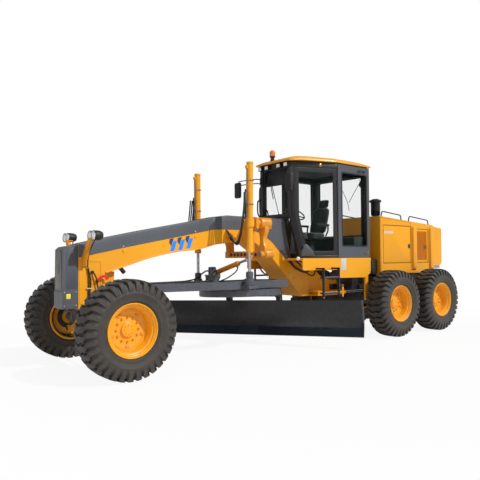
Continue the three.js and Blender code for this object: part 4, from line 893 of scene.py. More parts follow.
def add_front_fittings():
    """Valve with a red handle, a black hose and a damper below the neck."""
    valve = turned([[0, 0], [24, 0], [24, 30], [14, 36], [14, 60], [0, 60]], at((40, 172, 1290)), LEFT, 16)
    piece("front_valve", [valve], DARK_GEAR, "front")
    lever = carried(np.array(rect(-20, 20, -8, 8, 3, 2)) * MM,
                    fill_smooth(at([(55, 232, 1300), (20, 236, 1335), (-30, 236, 1360), (-80, 234, 1350),
                                    (-95, 234, 1310)]), 6), up=LEFT)
    piece("front_valve_handle", [lever], RED, "front")
    hose = tube([(110, 178, 1420), (90, 205, 1390), (60, 215, 1310), (40, 205, 1200), (0, 195, 1120), (-30, 190, 1040)],
                11, 10)
    gland = turned([[0, 0], [22, 0], [22, 16], [14, 20], [14, 30], [0, 30]], at((112, 171, 1424)), LEFT, 16)
    piece("front_hose", [hose, gland], HOSE, "front")
    strut = tube([(-330, 120, 1500), (-420, 120, 1400)], 32, 16, 2)
    piece("neck_damper", [strut], BLACK, "front")


def add_front_axle():
    softened("front_axle", YELLOW_SHADED, 6, "front")
    for label, s in SIDES:
        softened(f"lean_bracket_{label}", DARK_GEAR, 4)
        softened(f"knuckle_{label}", DARK_GEAR, 4)
        cap = turned([[0, 0], [36, 0], [36, 6], [18, 10], [0, 10]], at((92, s * 880, 500)), AHEAD, 24)
        piece(f"lean_pin_cap_{label}", [cap], STEEL, "front")
    softened("lean_bar", YELLOW_SHADED, 3)
    softened("tie_rod", BLACK, 3)
    softened("tie_rod_ball", STEEL, 1)


# ------------------------------------------------------------------ blade gear
BALL = (-280, 0, 1120)
GEAR = Place(at(BALL), turn_x(1.9))
RING = GEAR.within((-2500, 0, 0), turn_z(28))
TILT = RING.within((-600, 0, -700))
BOARD = TILT.within((0, 165, 0))
BOARD_HALF, BOARD_RADIUS, BOARD_BACK = 1980, 620, 120
BOARD_FOOT, BOARD_TOP, BOARD_LEVEL = 165, 820, 420


def blade_curve(offset, low, high, steps):
    """The board's section: an arc in X and Z about a centre ahead of it, by equal steps of height."""
    z = np.linspace(low, high, steps) - BOARD_LEVEL
    middle = (BOARD_TOP + BOARD_FOOT) / 2 - BOARD_LEVEL
    rise = np.arcsin((z - middle) / BOARD_RADIUS)
    r = BOARD_RADIUS + offset
    return np.stack([BOARD_BACK + BOARD_RADIUS - r * np.cos(rise), middle + r * np.sin(rise)], -1)


def board_sheet(front, back, low, high, y0, y1, steps=24):
    """The arc between two offsets carried across the board."""
    outline = np.concatenate([blade_curve(front, low, high, steps), blade_curve(back, low, high, steps)[::-1]])
    return slab(outline, y0, y1, "y", 1.5)


def add_moldboard():
    h = BOARD_HALF
    sheet = board_sheet(-22, -2, 168, 818, 12 - h, h - 12)
    rails = [block((70, 106), (-1330, 1330), (z - 21, z + 21), 4) for z in (200, -90)]
    rails += [block((100, 150), (-1330, 1330), (z - 11, z + 11), 3) for z in (200, -90)]
    ribs = [slab(np.concatenate([blade_curve(-2, 230, 780, 14), [(118, 300), (104, -150)]]), y - 8, y + 8, "y", 2)
            for y in (-1250, 1250)]
    x_top, z_top = blade_curve(-12, 812, 812, 1)[0]
    top = carried(circle(10 * MM, 8), at([(x_top, y, z_top) for y in (12 - h, h - 12)]))
    cheek = [board_sheet(-24, 0, 168, 818, s * (h - 8), s * (h - 34)) for _, s in SIDES]
    piece("board", [BOARD.put(x) for x in (sheet, *rails, *ribs, top)], BLADE, "moldboard", "moldboard", sharp=32)
    piece("board_cheeks", [BOARD.put(x) for x in cheek], SLATE_PANEL, "moldboard", sharp=32)
    edges = [board_sheet(-40, -22.5, 166, 318, -h + 30 + k * (h - 30) + 1.5, -h + (k + 1) * (h - 30) + 27, 10)
             for k in range(2)]
    ends = [board_sheet(-40, -22.5, 166, 400, s * (h - 14), s * (h - 38), 12) for _, s in SIDES]
    piece("board_edges", [BOARD.put(x) for x in edges + ends], EDGE_STEEL, "moldboard", sharp=32)
    y = np.concatenate([np.linspace(-h + 90, -70, 12), np.linspace(70, h - 90, 12)])
    x_row, z_row = blade_curve(-40, 240, 240, 1)[0]
    heads = [bolts([(x_row - 1, v, z_row) for v in y], (1, 0, 0.25), 12, 6, False)]
    for _, s in SIDES:
        for x_end, z_end in (blade_curve(-44, z, z, 1)[0] for z in (240, 300, 360)):
            heads.append(bolts([(x_end - 1, s * (h - 26), z_end)], (1, 0, 0.1), 9, 5, False))
    piece("board_bolts", [BOARD.put(x) for x in heads], EDGE_STEEL, "moldboard")


def add_circle():
    softened("circle", DARK_GEAR, 4)
    middle = at((0, 0, 0))
    tooth = slab([(622, -9), (638, -16), (638, 16), (622, 9)], -184, -100, "z", 1)
    piece("circle_teeth", [RING.put(around(tooth, middle, UP, 72))], STEEL, "circle")
    band = turned([[747, -176], [752, -172], [752, -86], [747, -82]], middle, UP, 96, ring=True)
    piece("circle_band", [RING.put(band)], DARK_GEAR, "circle")
    caps = [turned([[0, 0], [52, 0], [52, 8], [26, 14], [0, 14]], at((-600, s * 562, -700)), (0, s, 0), 24)
            for _, s in SIDES]
    piece("tilt_pin_caps", [RING.put(x) for x in caps], STEEL, "circle")
    heads = bolts([(a, b, -72) for a, b in circle(690, 24)], UP, 13, 9)
    piece("circle_bolts", [RING.put(heads)], STEEL, "circle")
    softened("blade_carriage", DARK_GEAR, 4)
    tip = tube([(60, -250, 130), (60, 260, 130)], 38, 20, 1)
    rod = tube([(60, 260, 130), (60, 285, 130)], 20, 16, 1)
    eye = turned([[0, 0], [30, 0], [34, 8], [34, 30], [30, 38], [0, 38]], at((60, -290, 130)), LEFT, 20)
    piece("side_shift_cylinder", [TILT.put(x) for x in (tip, rod, eye)], DARK_GEAR, "blade_carriage")


def add_drawbar():
    softened("drawbar", DARK_GEAR, 5)
    softened("drawbar_ball", STEEL, 1)
    plates = [slab(rounded([(-1700, -540), (-1700, 540), (-2090, 540), (-2090, -540)], 40), 60, 68, "z", 3),
              slab(rounded([(-2960, -500), (-2960, 500), (-3090, 500), (-3090, -500)], 20), 80, 88, "z", 3)]
    motor = [turned([[0, 300], [62, 300], [70, 308], [70, 330], [40, 340], [0, 340]], at((-1880, 0, 0)), UP, 28),
             turned([[118, 176], [132, 176], [132, 196], [118, 196]], at((-1880, 0, 0)), UP, 32, ring=True)]
    piece("turn_motor_cap", [GEAR.put(x) for x in motor + plates], DARK_GEAR, "drawbar")
    ring = [(-1880 + a, b, 196) for a, b in circle(118, 12)]
    spots = ring + [(x, s * 500, 68) for x in (-1740, -2050) for s in (-1, 1)]
    spots += [(x, s * 460, 88) for x in (-2985, -3065) for s in (-1, 1)]
    piece("turn_motor_bolts", [GEAR.put(bolts(spots, UP, 12, 9))], ZINC, "drawbar")
    hoses = [tube([(-1880, s * 60, 250), (-1860, s * 150, 270), (-1800, s * 230, 210), (-1700, s * 280, 130),
                   (-1500, s * 300, 98)], 13, 10)
             for s in (-1, 1)]
    hoses += [tube([(-1500, s * 300, 98), (-1100, s * 180, 96), (-700, s * 80, 96), (-420, s * 60, 98)], 13, 10)
              for s in (-1, 1)]
    piece("turn_motor_hoses", [GEAR.put(x) for x in hoses], HOSE, "drawbar")
    studs = [bolts([(-2150 + 54 * math.cos(a), s * 750 + 54 * math.sin(a), 20) for a in np.linspace(0, 5.2, 6)],
                   UP, 7, 6) for _, s in SIDES]
    piece("stud_seats", [GEAR.put(x) for x in studs], DARK_GEAR, "drawbar")


def stud(side):
    """The ball on the drawbar that a lift cylinder stands on."""
    return -2095, side * 766, 80


def add_lift_sockets():
    """Dark housings turned round the drawbar's studs, each with a flange and its ring of bolts."""
    made = []
    for _, s in SIDES:
        spot = at(stud(s))
        made.append(turned([[0, -60], [96, -60], [100, -52], [100, -30], [84, -22], [80, 30], [62, 52], [34, 58],
                            [0, 58]], spot, UP, 36))
        made.append(around(bolts([(-2005, s * 766, 50)], UP, 10, 9), spot, UP, 8))
    piece("lift_sockets", [GEAR.put(x) for x in made], DARK_GEAR, "drawbar", sharp=30)


def lift_axes(side):
    """The barrel's axes: Z from the drawbar's stud up to the pivot."""
    foot = GEAR.point(stud(side))
    pivot = at((-2375, side * 776, 2200))
    return Place(pivot, pointing(pivot - foot)), float(np.linalg.norm(pivot - foot)) / MM


def add_lift_cylinders():
    """Barrel, gland, head and trunnion collar turned about the cylinder's axis, with its feed pipe,
    hose and port block; the rod and its ball cap below."""
    for label, s in SIDES:
        axes, reach = lift_axes(s)
        zero = at((0, 0, 0))
        barrel = turned([[29.5, -498], [56, -498], [61, -494], [61, -446], [55, -438], [55, -72], [74, -70], [78, -66],
                         [78, 66], [74, 70], [55, 72], [55, 984], [59, 988], [60, 1014], [56, 1020], [0, 1020],
                         [0, 962], [29.5, 960]],
                        zero, UP, 40, ring=True)
        boss = turned([[0, 58], [38, 58], [38, 76], [34, 80], [0, 80]], zero, (-1, 0, 0), 28)
        piece(f"lift_tube_{label}", [axes.put(x) for x in (barrel, boss)], YELLOW, f"lift_barrel_{label}",
              f"lift_barrel_{label}", sharp=30)
        pipe = tube([(62, 0, 930), (70, 0, 900), (70, 0, 560), (70, 0, 150), (66, 0, 90)], 9, 12)
        straps = [turned([[57, z], [66, z], [66, z + 16], [57, z + 16]], zero, UP, 32, ring=True) for z in (300, 700)]
        piece(f"lift_pipe_{label}", [axes.put(x) for x in (pipe, *straps)], STEEL, f"lift_barrel_{label}")
        port = [block((46, 84), (-20, 20), (902, 958), 4),
                turned([[0, 0], [14, 0], [14, 12], [10, 18], [0, 18]], at((66, -20, 930)), (0, -1, 0), 12)]
        piece(f"lift_port_{label}", [axes.put(x) for x in port], YELLOW_SHADED, f"lift_barrel_{label}")
        hose = tube([(74, -22, 560), (84, -20, 480), (84, -16, 300), (80, -14, 120), (96, -10, 60)], 12, 12)
        piece(f"lift_hose_{label}", [axes.put(hose)], HOSE, f"lift_barrel_{label}")
        rod = turned([[0, 250], [27, 250], [27, -(reach - 160)], [0, -(reach - 160)]], zero, UP, 32)
        cap = turned([[0, -(reach - 162)], [40, -(reach - 162)], [58, -(reach - 150)], [62, -(reach - 140)],
                      [62, -(reach - 62)], [58, -(reach - 58)], [0, -(reach - 58)]], zero, UP, 32)
        piece(f"lift_shaft_{label}", [axes.put(rod)], CHROME, f"lift_rod_{label}", f"lift_rod_{label}", sharp=30)
        nuts = bolts([(50 * math.cos(a), 50 * math.sin(a), -(reach - 150)) for a in np.linspace(0, 5.24, 6)], UP, 8, 8)
        piece(f"lift_ball_cap_{label}", [axes.put(cap), axes.put(nuts)], DARK_GEAR, f"lift_rod_{label}", sharp=30)


def add_saddle():
    """The saddle's arms with round hubs and pins at the cylinders, and its row of locking holes:
    shallow black cups whose black is painted shade for the holes' depth.
    """
    softened("blade_saddle", YELLOW_SHADED, 8, "front")
    hubs, pins, dots = [], [], []
    for label, s in SIDES:
        hub = [[0, 0], [60, 0], [64, 4], [64, 108], [90, 112], [94, 120], [94, 330], [88, 338], [0, 338]]
        for x, y, z, size in ((-2462, 776, 2204, 1.0), (-2596, 770, 1682, 0.82))[:1 + (s > 0)]:
            hubs.append(turned(np.array(hub) * size, at((x, s * y, z)), (-1, 0, 0), 40))
            pins.append(turned([[0, 0], [44, 0], [44, 6], [36, 11], [0, 11]], at((x, s * y, z)), AHEAD, 28))
            dots.append(turned([[0, 0], [9, 0], [9, 8], [0, 12]], at((x - 210, s * (y + 92 * size), z + 18)),
                               (0, s, 0), 10))
            dots.append(turned([[0, 0], [8, 0], [8, 8], [0, 12]], at((x + 10, s * y, z)), AHEAD, 10))
        if s > 0:
            link = rounded([(700, 2170), (690, 2040), (716, 1930), (690, 1800), (690, 1670), (830, 1670), (840, 1790),
                            (800, 1880), (796, 1960), (850, 2060), (850, 2170)], 40)
            hubs.append(slab(link, -2740, -2650, "x", 8))
        hoses = []
        for k in range(3):
            y, x = 768 + 22 * k, -2286 + 26 * k
            hoses.append(tube([(x, s * y, 2700), (x + 14, s * (y + 6), 2500), (x + 34, s * y, 2300),
                               (x + 26, s * (y - 70), 2050), (x - 10, s * (560 + 18 * k), 1850 + 14 * k),
                               (x - 24, s * 430, 1880 + 16 * k), (x - 26, s * 330, 2010 + 20 * k),
                               (x - 40, s * 266, 2050 + 20 * k)], 13, 10))
        drape(f"saddle_hoses_{label}", hoses)
        hubs.append(turned([[24, 0], [66, 0], [70, 6], [70, 34], [64, 40], [30, 40], [24, 34]],
                           at((-2330, s * 262, 1990)), (0, s, 0), 32, ring=True))
        hubs.append(slab(rounded([(-2880, 2120), (-2760, 2330), (-2640, 2330), (-2600, 2110), (-2640, 1900),
                                  (-2740, 1640), (-2860, 1640), (-2850, 1900)], 50), s * 264, s * 286, "y", 5))
    piece("saddle_hubs", hubs, YELLOW_SHADED, "front", sharp=30)
    piece("saddle_pins", pins, STEEL, "front", sharp=30)
    piece("saddle_grease_points", dots, RED, "front")
    # Painted shade: black cups stand for the dark inside of the locking holes.
    holes = [turned([[0, 0], [26, 0], [30, 4], [26, 8], [18, 8], [18, 3], [0, 3]], at((-2734, y, 1670)), AHEAD, 20)
             for y in (-300, -200, -100, 0, 100, 200, 300, 500, 600, 700)]
    piece("saddle_pin_hole_shades", holes, BLACK, "front", sharp=30)


def add_shift_cylinder():
    base = GEAR.point(np.array([-2400, -290, 1340]) - BALL)
    eye = at((-2600, 420, 1580))
    axes = Place(base, pointing(eye - base))
    reach = float(np.linalg.norm(eye - base)) / MM
    zero = at((0, 0, 0))
    tube_ = turned([[25.5, 598], [44, 598], [48, 594], [48, 545], [44, 540], [44, 100], [48, 92], [48, 62], [0, 62],
                    [0, 112], [25.5, 114]],
                   zero, UP, 36, ring=True)
    foot = turned([[0, -40], [20, -34], [34, -20], [40, 0], [34, 20], [30, 30], [30, 68], [0, 68]], zero, UP, 28)
    ports = [block((-18, 18), (36, 62), (z - 16, z + 16), 3) for z in (130, 560)]
    piece("shift_tube", [axes.put(x) for x in (tube_, foot, *ports)], YELLOW_SHADED, "shift_barrel", "shift_barrel",
          sharp=30)
    shaft = turned([[0, 262], [22.5, 262], [22.5, reach - 30], [0, reach - 30]], zero, UP, 28)
    ball = turned([[0, reach - 38], [22, reach - 31], [34, reach - 16], [38, reach], [34, reach + 16], [22, reach + 31],
                   [0, reach + 38]], zero, UP, 28)
    piece("shift_shaft", [axes.put(x) for x in (shaft, ball)], CHROME, "shift_rod", "shift_rod", sharp=40)
    hoses = [tube([(0, 62, 130), (0, 110, 140), (0, 190, 60), (10, 210, -60), (40, 160, -130), (60, 90, -150)], 11, 10),
             tube([(0, 62, 560), (0, 100, 556), (0, 150, 480), (6, 190, 320), (14, 200, 160), (30, 214, 0),
                   (66, 150, -120)], 11, 10)]
    piece("shift_hoses", [axes.put(x) for x in hoses], HOSE, "shift_barrel")


def add_articulation_cylinders():
    for label, _ in SIDES:
        softened(f"articulation_barrel_{label}", YELLOW_SHADED, 2)
        softened(f"articulation_rod_{label}", CHROME, 1)


# ------------------------------------------------------------------ cab
CAB_FRONT, CAB_BEND = -3650, -4600
CAB_FRONT_HALF, CAB_HALF = 430, 770
DOOR_EDGE, KNEE = CAB_FRONT - 90, 2400
SIDE_TURN = math.degrees(math.atan2(CAB_HALF - CAB_FRONT_HALF, CAB_FRONT - CAB_BEND))
WALL = Place(at((CAB_BEND, CAB_HALF, 0)), turn_z(-SIDE_TURN))


def cab_front(z):
    """The front wall's station at a height: upright above the knee, leaning back below it."""
    return CAB_FRONT - 190 * np.clip(KNEE - np.asarray(z, float), 0, None) / 800


def on_wall(shell, s):
    """A shell modelled along the left side's slanted front wall, in place there or mirrored to the right."""
    placed = WALL.put(shell)
    return placed if s > 0 else mirrored(placed)


def door_outline(inward, radius=30):
    """The door's outline along the slanted wall, drawn in by a distance."""
    bottom = 1650 + inward
    front, back, top = DOOR_EDGE - inward, CAB_BEND + inward, 3330 - inward
    corners = [(float(cab_front(bottom)) - 90 - inward, bottom), (front, KNEE), (front, top), (back, top),
               (back, bottom)]
    slope = math.cos(math.radians(SIDE_TURN))
    return rounded([((x - CAB_BEND) / slope, z) for x, z in corners], radius)


def add_cab_shell():
    softened("cab_frame", BLACK, 8, "front")
    softened("cab_base", YELLOW, 5, "front")
    for label, s in SIDES:
        outer = rounded([(-5566, 1604), (-4604, 1604), (-4604, 3428), (-5566, 3428)], 16)
        hole = rounded([(-5482, 1828), (-4708, 1828), (-4708, 3282), (-5482, 3282)], 40)
        panel = border(outer, hole, s * 768, s * 779, "y", 4)
        piece(f"rear_side_panel_{label}", [panel], SLATE_PANEL, "front", sharp=30)
        gasket_out = rounded([(-5490, 1820), (-4700, 1820), (-4700, 3290), (-5490, 3290)], 46)
        gasket_in = rounded([(-5462, 1848), (-4728, 1848), (-4728, 3262), (-5462, 3262)], 36)
        gasket = border(gasket_out, gasket_in, s * 772, s * 783, "y", 3)
        piece(f"rear_side_gasket_{label}", [gasket], HOSE, "front", sharp=30)
        catch = [slab(rect(-5520, -5490, 1680, 1745, 6), s * 779, s * 787, "y", 2),
                 turned([[0, 0], [16, 0], [16, 20], [10, 24], [0, 24]], at((-5430, s * 779, 1700)), (0, s, 0), 16)]
        piece(f"rear_side_catch_{label}", catch, BRASS, "front")
        fittings = [block((-5420 + k * 130, -5350 + k * 130), (s * 779, s * 800), (3322, 3362), 4) for k in (0, 1)]
        fittings.append(tube([(-5290, s * 788, 3340), (-5240, s * 800, 3350), (-5180, s * 788, 3320)], 8, 8))
        piece(f"rear_side_fittings_{label}", fittings, PLASTIC, "front")
        band = slab(rounded([(5, 3338), (1000, 3338), (1000, 3428), (5, 3428)], 6), -2, 5, "y", 2)
        sill = slab(rounded([(5, 1602), (800, 1602), (790, 1644), (5, 1644)], 8), -2, 6, "y", 2)
        piece(f"door_bands_{label}", [on_wall(band, s), on_wall(sill, s)], BLACK, "front")
        lamp = turned([[0, 0], [34, 0], [34, 10], [26, 16], [0, 18]], at((380, 5, 3384)), LEFT, 20)
        piece(f"header_lamp_{label}", [on_wall(lamp, s)], BRASS, "front")


def add_front_panes():
    """Glass, the windscreen's and back window's gaskets, behind the frame's openings, and the wipers."""
    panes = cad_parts["cab_glass"].data.materials
    panes.clear()
    panes.append(GLASS)
    screen = border(rect(-374, 374, 2430, 3340, 40), rect(-350, 350, 2454, 3316, 34), -3714, -3702, "x", 3)
    back = border(rect(-604, 604, 2046, 3284, 40), rect(-578, 578, 2072, 3258, 34), -5572, -5562, "x", 3)
    piece("screen_gaskets", [screen, back], HOSE, "front")
    wiper = [tube([(-3696, 60, 2440), (-3690, 60, 2480), (-3688, -60, 2850), (-3690, -130, 3060)], 7, 8),
             carried(np.array(rect(-4, 4, -9, 9, 2, 2)) * MM,
                     at([(-3694, -90, 2760), (-3693, -140, 2960), (-3694, -190, 3180)]), up=AHEAD),
             turned([[0, 0], [22, 0], [22, 20], [12, 28], [0, 28]], at((-3712, 60, 2440)), AHEAD, 16),
             tube([(-5300, 745, 3180), (-5290, 752, 3120), (-5050, 754, 2820), (-4960, 752, 2700)], 6, 8),
             tube([(-5580, 0, 3180), (-5590, 10, 3120), (-5590, 180, 2800), (-5588, 230, 2600)], 6, 8)]
    piece("wipers", wiper, PLASTIC, "front")


def add_cab_doors():
    for label, s in SIDES:
        body = f"cab_door_{label}"
        softened(body, BLACK, 5)
        pane = slab(door_outline(70, 60), -35, -30, "y", 1)
        piece(f"door_pane_{label}", [on_wall(pane, s)], GLASS, body)
        gasket = border(door_outline(64, 60), door_outline(88, 46), -26, -12, "y", 3)
        piece(f"door_gasket_{label}", [on_wall(gasket, s)], HOSE, body, sharp=30)
        handle = tube([(772, -36, 2030), (762, -76, 2060), (790, -86, 2300), (850, -76, 2540), (860, -36, 2590)],
                      12, 10)
        grip = slab(rounded([(643, 1960), (738, 1960), (772, 2090), (677, 2090)], 12), -26, -3, "y", 4)
        piece(f"door_handle_{label}", [on_wall(handle, s), on_wall(grip, s)], PLASTIC, body)
        hinges = [turned([[0, -32], [13, -32], [13, 32], [0, 32]], at((-4592, s * 764, z)), UP, 14)
                  for z in (1850, 2450, 3050)]
        piece(f"door_hinges_{label}", hinges, BLACK, body)
        rail = tube([(-3700, s * 440, 3000), (-3690, s * 490, 2980), (-3700, s * 496, 2500), (-3790, s * 530, 2050),
                     (-3850, s * 552, 1820), (-3860, s * 498, 1760)], 15, 12)
        piece(f"door_grab_rail_{label}", [rail], PLASTIC, "front")
        cover = slab(rounded([(807, 1640), (765, 1840), (680, 1870), (542, 1740), (520, 1640)], 30), -5, 14, "y", 6)
        piece(f"door_foot_cover_{label}", [on_wall(cover, s)], SLATE_PANEL, body)


def add_cab_roof():
    """Roof cap: a grid whose height is a crowned pillow, falling to the rim by a high power of the
    distance across and along; a dark tray below it."""
    z0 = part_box("cab_roof")[0].z / MM
    u = np.linspace(-1, 1, 61)
    a, b = np.meshgrid(np.sign(u) * np.abs(u) ** 0.8, np.sign(u) * np.abs(u) ** 0.8, indexing="ij")
    middle, half = (-3563 - 5657) / 2, (5657 - 3563) / 2
    corner = 1 - 0.03 * (a * b) ** 8
    x = middle + half * a * corner
    front = np.clip((a - 0.72) / 0.28, 0, 1)
    y = np.interp(x, [-5610, -4565, -3560], [798, 798, 497]) * b * corner
    crown = (1 - np.abs(a) ** 6) * (1 - np.abs(b) ** 8)
    top = z0 + 52 + 84 * crown - 20 * front**1.5
    rim = np.maximum(np.abs(a), np.abs(b)) > 0.985
    low = z0 + 22 - 18 * front
    grid_top = np.stack([x, y, np.where(rim, np.minimum(top, z0 + 50 - 16 * front), top)], -1)
    grid_low = np.stack([x, y, np.broadcast_to(low, x.shape)], -1)
    piece("roof_cap", [between(at(grid_top), at(grid_low))], YELLOW, "front", "cab_roof", sharp=50)
    tray = slab(rounded([(-3610, -430), (-3610, 430), (-4560, 750), (-5560, 750), (-5560, -750), (-4560, -750)], 50),
                z0 + 1, z0 + 26, "z", 4)
    piece("roof_tray", [tray], BLACK, "front")
    base = turned([[0, 0], [52, 0], [40, 12], [38, 66], [58, 72], [58, 86], [0, 86]], at((-3690, -100, z0 + 84)), UP,
                  32)
    piece("beacon_base", [base], PLASTIC, "front")
    shape = [[0, 0]] + [[54 + (3 if k % 2 else 0), k * 9] for k in range(7)]
    shape += [[58, 62], [55, 88], [44, 108], [24, 121], [0, 126]]
    piece("beacon_lens", [turned(shape, at((-3690, -100, z0 + 170)), UP, 40)], AMBER, "front")
    knobs = [turned([[0, 0], [12, 0], [10, 22], [0, 26]], at((x, y, z0 + 90)), UP, 12)
             for x, y in ((-4100, 400), (-5400, 560), (-5400, -560))]
    piece("roof_eyes", knobs, ZINC, "front")
    for label, s in SIDES:
        shells, lenses = [], []
        for y in (370, 170):
            shells.append(slab(rect(s * y - 52, s * y + 52, 3335, 3412, 12), -3646, -3586, "x", 8))
            lenses.append(slab(rect(s * y - 44, s * y + 44, 3342, 3405, 10), -3587, -3583, "x", 1.5))
            shells.append(tube([(-3615, s * y, 3408), (-3615, s * y, 3436)], 12, 10, 2))
        piece(f"work_lamps_{label}", shells, PLASTIC, "front")
        piece(f"work_lamp_lenses_{label}", lenses, LENS, "front")
    dome = turned([[0, 0], [60, 0], [72, 20], [72, 60], [50, 84], [0, 92]], at((-5560, 560, 3130)), (-0.9, 0.3, 0), 28)
    piece("rear_corner_lamp", [dome], PLASTIC, "front")


def add_mirrors():
    for label, x, y, z0, z1 in (("left", -3450, 600, 2820, 3170), ("right", -3430, -880, 2830, 3150)):
        o = math.copysign(1, y)
        head = rounded([(y - 88, z0), (y + 88, z0), (y + 88, z1), (y - 88, z1)], 46, 6)
        shell = [lift_to(inset(head, d), level, "x")
                 for level, d in ((x + 30, 42), (x + 29, 22), (x + 22, 8), (x + 4, 0), (x - 22, 0), (x - 28, 5),
                                  (x - 29, 9))]
        case = loops([at(r) for r in shell])
        glass = slab(inset(head, 12), x - 31, x - 28, "x", 0.8)
        root_x, root_y = -3644, o * 400
        arms = [tube([(root_x + 6, root_y, z), ((root_x + x) / 2, root_y + o * 60, z + 4), (x - 30, y - o * 60, z),
                      (x, y - o * 38, z - 30), (x, y - o * 36, z0 + 150)], 10, 10)
                for z in (z1 + 25, z1 - 60)]
        pad = slab(rect(root_y - 20, root_y + 20, z1 - 90, z1 + 55, 8), root_x - 5, root_x + 14, "x", 3)
        piece(f"mirror_case_{label}", [case, *arms, pad], PLASTIC, "front", f"mirror_{label}")
        piece(f"mirror_glass_{label}", [glass], MIRROR, "front")
    hoop = tube([(-3660, -400, 2420), (-3590, -400, 2440), (-3560, -405, 2520), (-3560, -405, 2700),
                 (-3590, -402, 2750), (-3660, -400, 2760)], 14, 12)
    piece("front_grab_rail", [hoop], PLASTIC, "front")


# ------------------------------------------------------------------ inside the cab
def pillow(low, high, power=5.0, lean=0.0):
    """A closed pad in a box: a sphere's two angles with each coordinate raised to a small power, so
    that its faces crown and its corners stay round; it may lean back with height."""
    v = np.linspace(-np.pi / 2, np.pi / 2, 40)
    u = np.linspace(0, 2 * np.pi, 72, endpoint=False)
    v, u = np.meshgrid(v, u, indexing="ij")
    soft = lambda c: np.sign(c) * np.abs(c) ** (2 / power)
    x = soft(np.cos(v)) * soft(np.cos(u))
    y = soft(np.cos(v)) * soft(np.sin(u))
    z = soft(np.sin(v))
    low, high = np.asarray(low, float), np.asarray(high, float)
    p = (low + high) / 2 + np.stack([x, y, z], -1) * (high - low) / 2
    p[..., 0] += lean * (p[..., 2] - low[2])
    return loops(at(p), caps=False)


def stuffed(name, shell, body, channels, cap, replaces=None):
    """A sewn pad: the pillow is remeshed, blown up as cloth with its movement capped, given one
    subdivision, and its channels are pressed in: each a narrow bell-shaped dip across the pad."""
    made = linked(name, build_mesh(name, [shell], 80))
    remesh = made.modifiers.new("voxels", "REMESH")
    remesh.mode, remesh.voxel_size, remesh.use_smooth_shade = "VOXEL", 0.009, True
    made.data = bpy.data.meshes.new_from_object(made.evaluated_get(bpy.context.evaluated_depsgraph_get()))
    made.modifiers.clear()
    count = len(made.data.vertices)
    rest = np.zeros(count * 3, np.float32)
    made.data.vertices.foreach_get("co", rest)
    rest = rest.reshape(-1, 3).astype(float)
    cloth = made.modifiers.new("cloth", "CLOTH")
    cloth.settings.use_pressure = True
    cloth.settings.uniform_pressure_force = 4.0
    cloth.settings.quality = 5
    cloth.settings.effector_weights.gravity = 0.0
    for step in range(1, 21):
        bpy.context.scene.frame_set(step)
    blown = bpy.data.meshes.new_from_object(made.evaluated_get(bpy.context.evaluated_depsgraph_get()))
    moved = np.zeros(count * 3, np.float32)
    blown.vertices.foreach_get("co", moved)
    shift = moved.reshape(-1, 3).astype(float) - rest
    far = np.linalg.norm(shift, axis=1, keepdims=True)
    rest = rest + shift * np.minimum(1, cap * MM / np.maximum(far, 1e-9))
    made.modifiers.clear()
    bpy.context.scene.frame_set(1)
    for axis, place, width, deep, centre in channels:
        dip = deep * MM * np.exp(-(((rest[:, axis] - place) / (width * MM)) ** 2))
        inward = np.asarray(centre) - rest
        inward[:, axis] = 0
        inward /= np.maximum(np.linalg.norm(inward, axis=1, keepdims=True), 1e-9)
        rest = rest + inward * dip[:, None]
    made.data.vertices.foreach_set("co", rest.astype(np.float32).reshape(-1))
    made.data.polygons.foreach_set("use_smooth", np.ones(len(made.data.polygons), bool))
    made.data.materials.clear()
    made.data.materials.append(CLOTH)
    fine = made.modifiers.new("fine", "SUBSURF")
    fine.levels = fine.render_levels = 1
    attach(made, body)
    if replaces:
        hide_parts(replaces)


def add_seat():
    mid = at((-4610, 0, 2060))
    stuffed("seat_cushion", pillow((-4868, -243, 2012), (-4352, 243, 2108), 5), "front",
            [(1, -0.15, 9, 9, mid), (1, 0.15, 9, 9, mid), (0, float(at((-4620, 0, 0))[0]), 9, 6, mid)], 9, "seat")
    spine = at((-4945, 0, 2400))
    stuffed("seat_back", pillow((-4878, -228, 2090), (-4796, 228, 2650), 5, -0.255), "front",
            [(1, -0.14, 9, 8, spine), (1, 0.14, 9, 8, spine), (2, 2.33, 9, 6, spine)], 9)
    head = at((-5020, 0, 2720))
    stuffed("seat_headrest", pillow((-5040, -140, 2640), (-4975, 140, 2815), 5, -0.255), "front",
            [(2, 2.72, 8, 3, head)], 6)
    hard = [turned([[0, 0], [150, 0], [150, 20], [110, 30], [100, 330], [120, 340], [120, 380], [0, 380]],
                   at((-4600, 0, 1603)), UP, 28),
            slab(rounded([(-4860, -235), (-4380, -235), (-4380, 235), (-4860, 235)], 50), 1980, 2008, "z", 6)]
    for s in (-1, 1):
        hard.append(slab(rounded([(-4870, 2245), (-4500, 2245), (-4490, 2290), (-4860, 2290)], 18), s * 258, s * 318,
                         "y", 10))
        hard.append(tube([(-4850, s * 285, 2250), (-4840, s * 290, 2150), (-4800, s * 265, 2040)], 16, 12))
        hard.append(tube([(-5008, s * 60, 2570), (-5022, s * 60, 2660)], 7, 8, 2))
    piece("seat_base", hard, PLASTIC, "front")


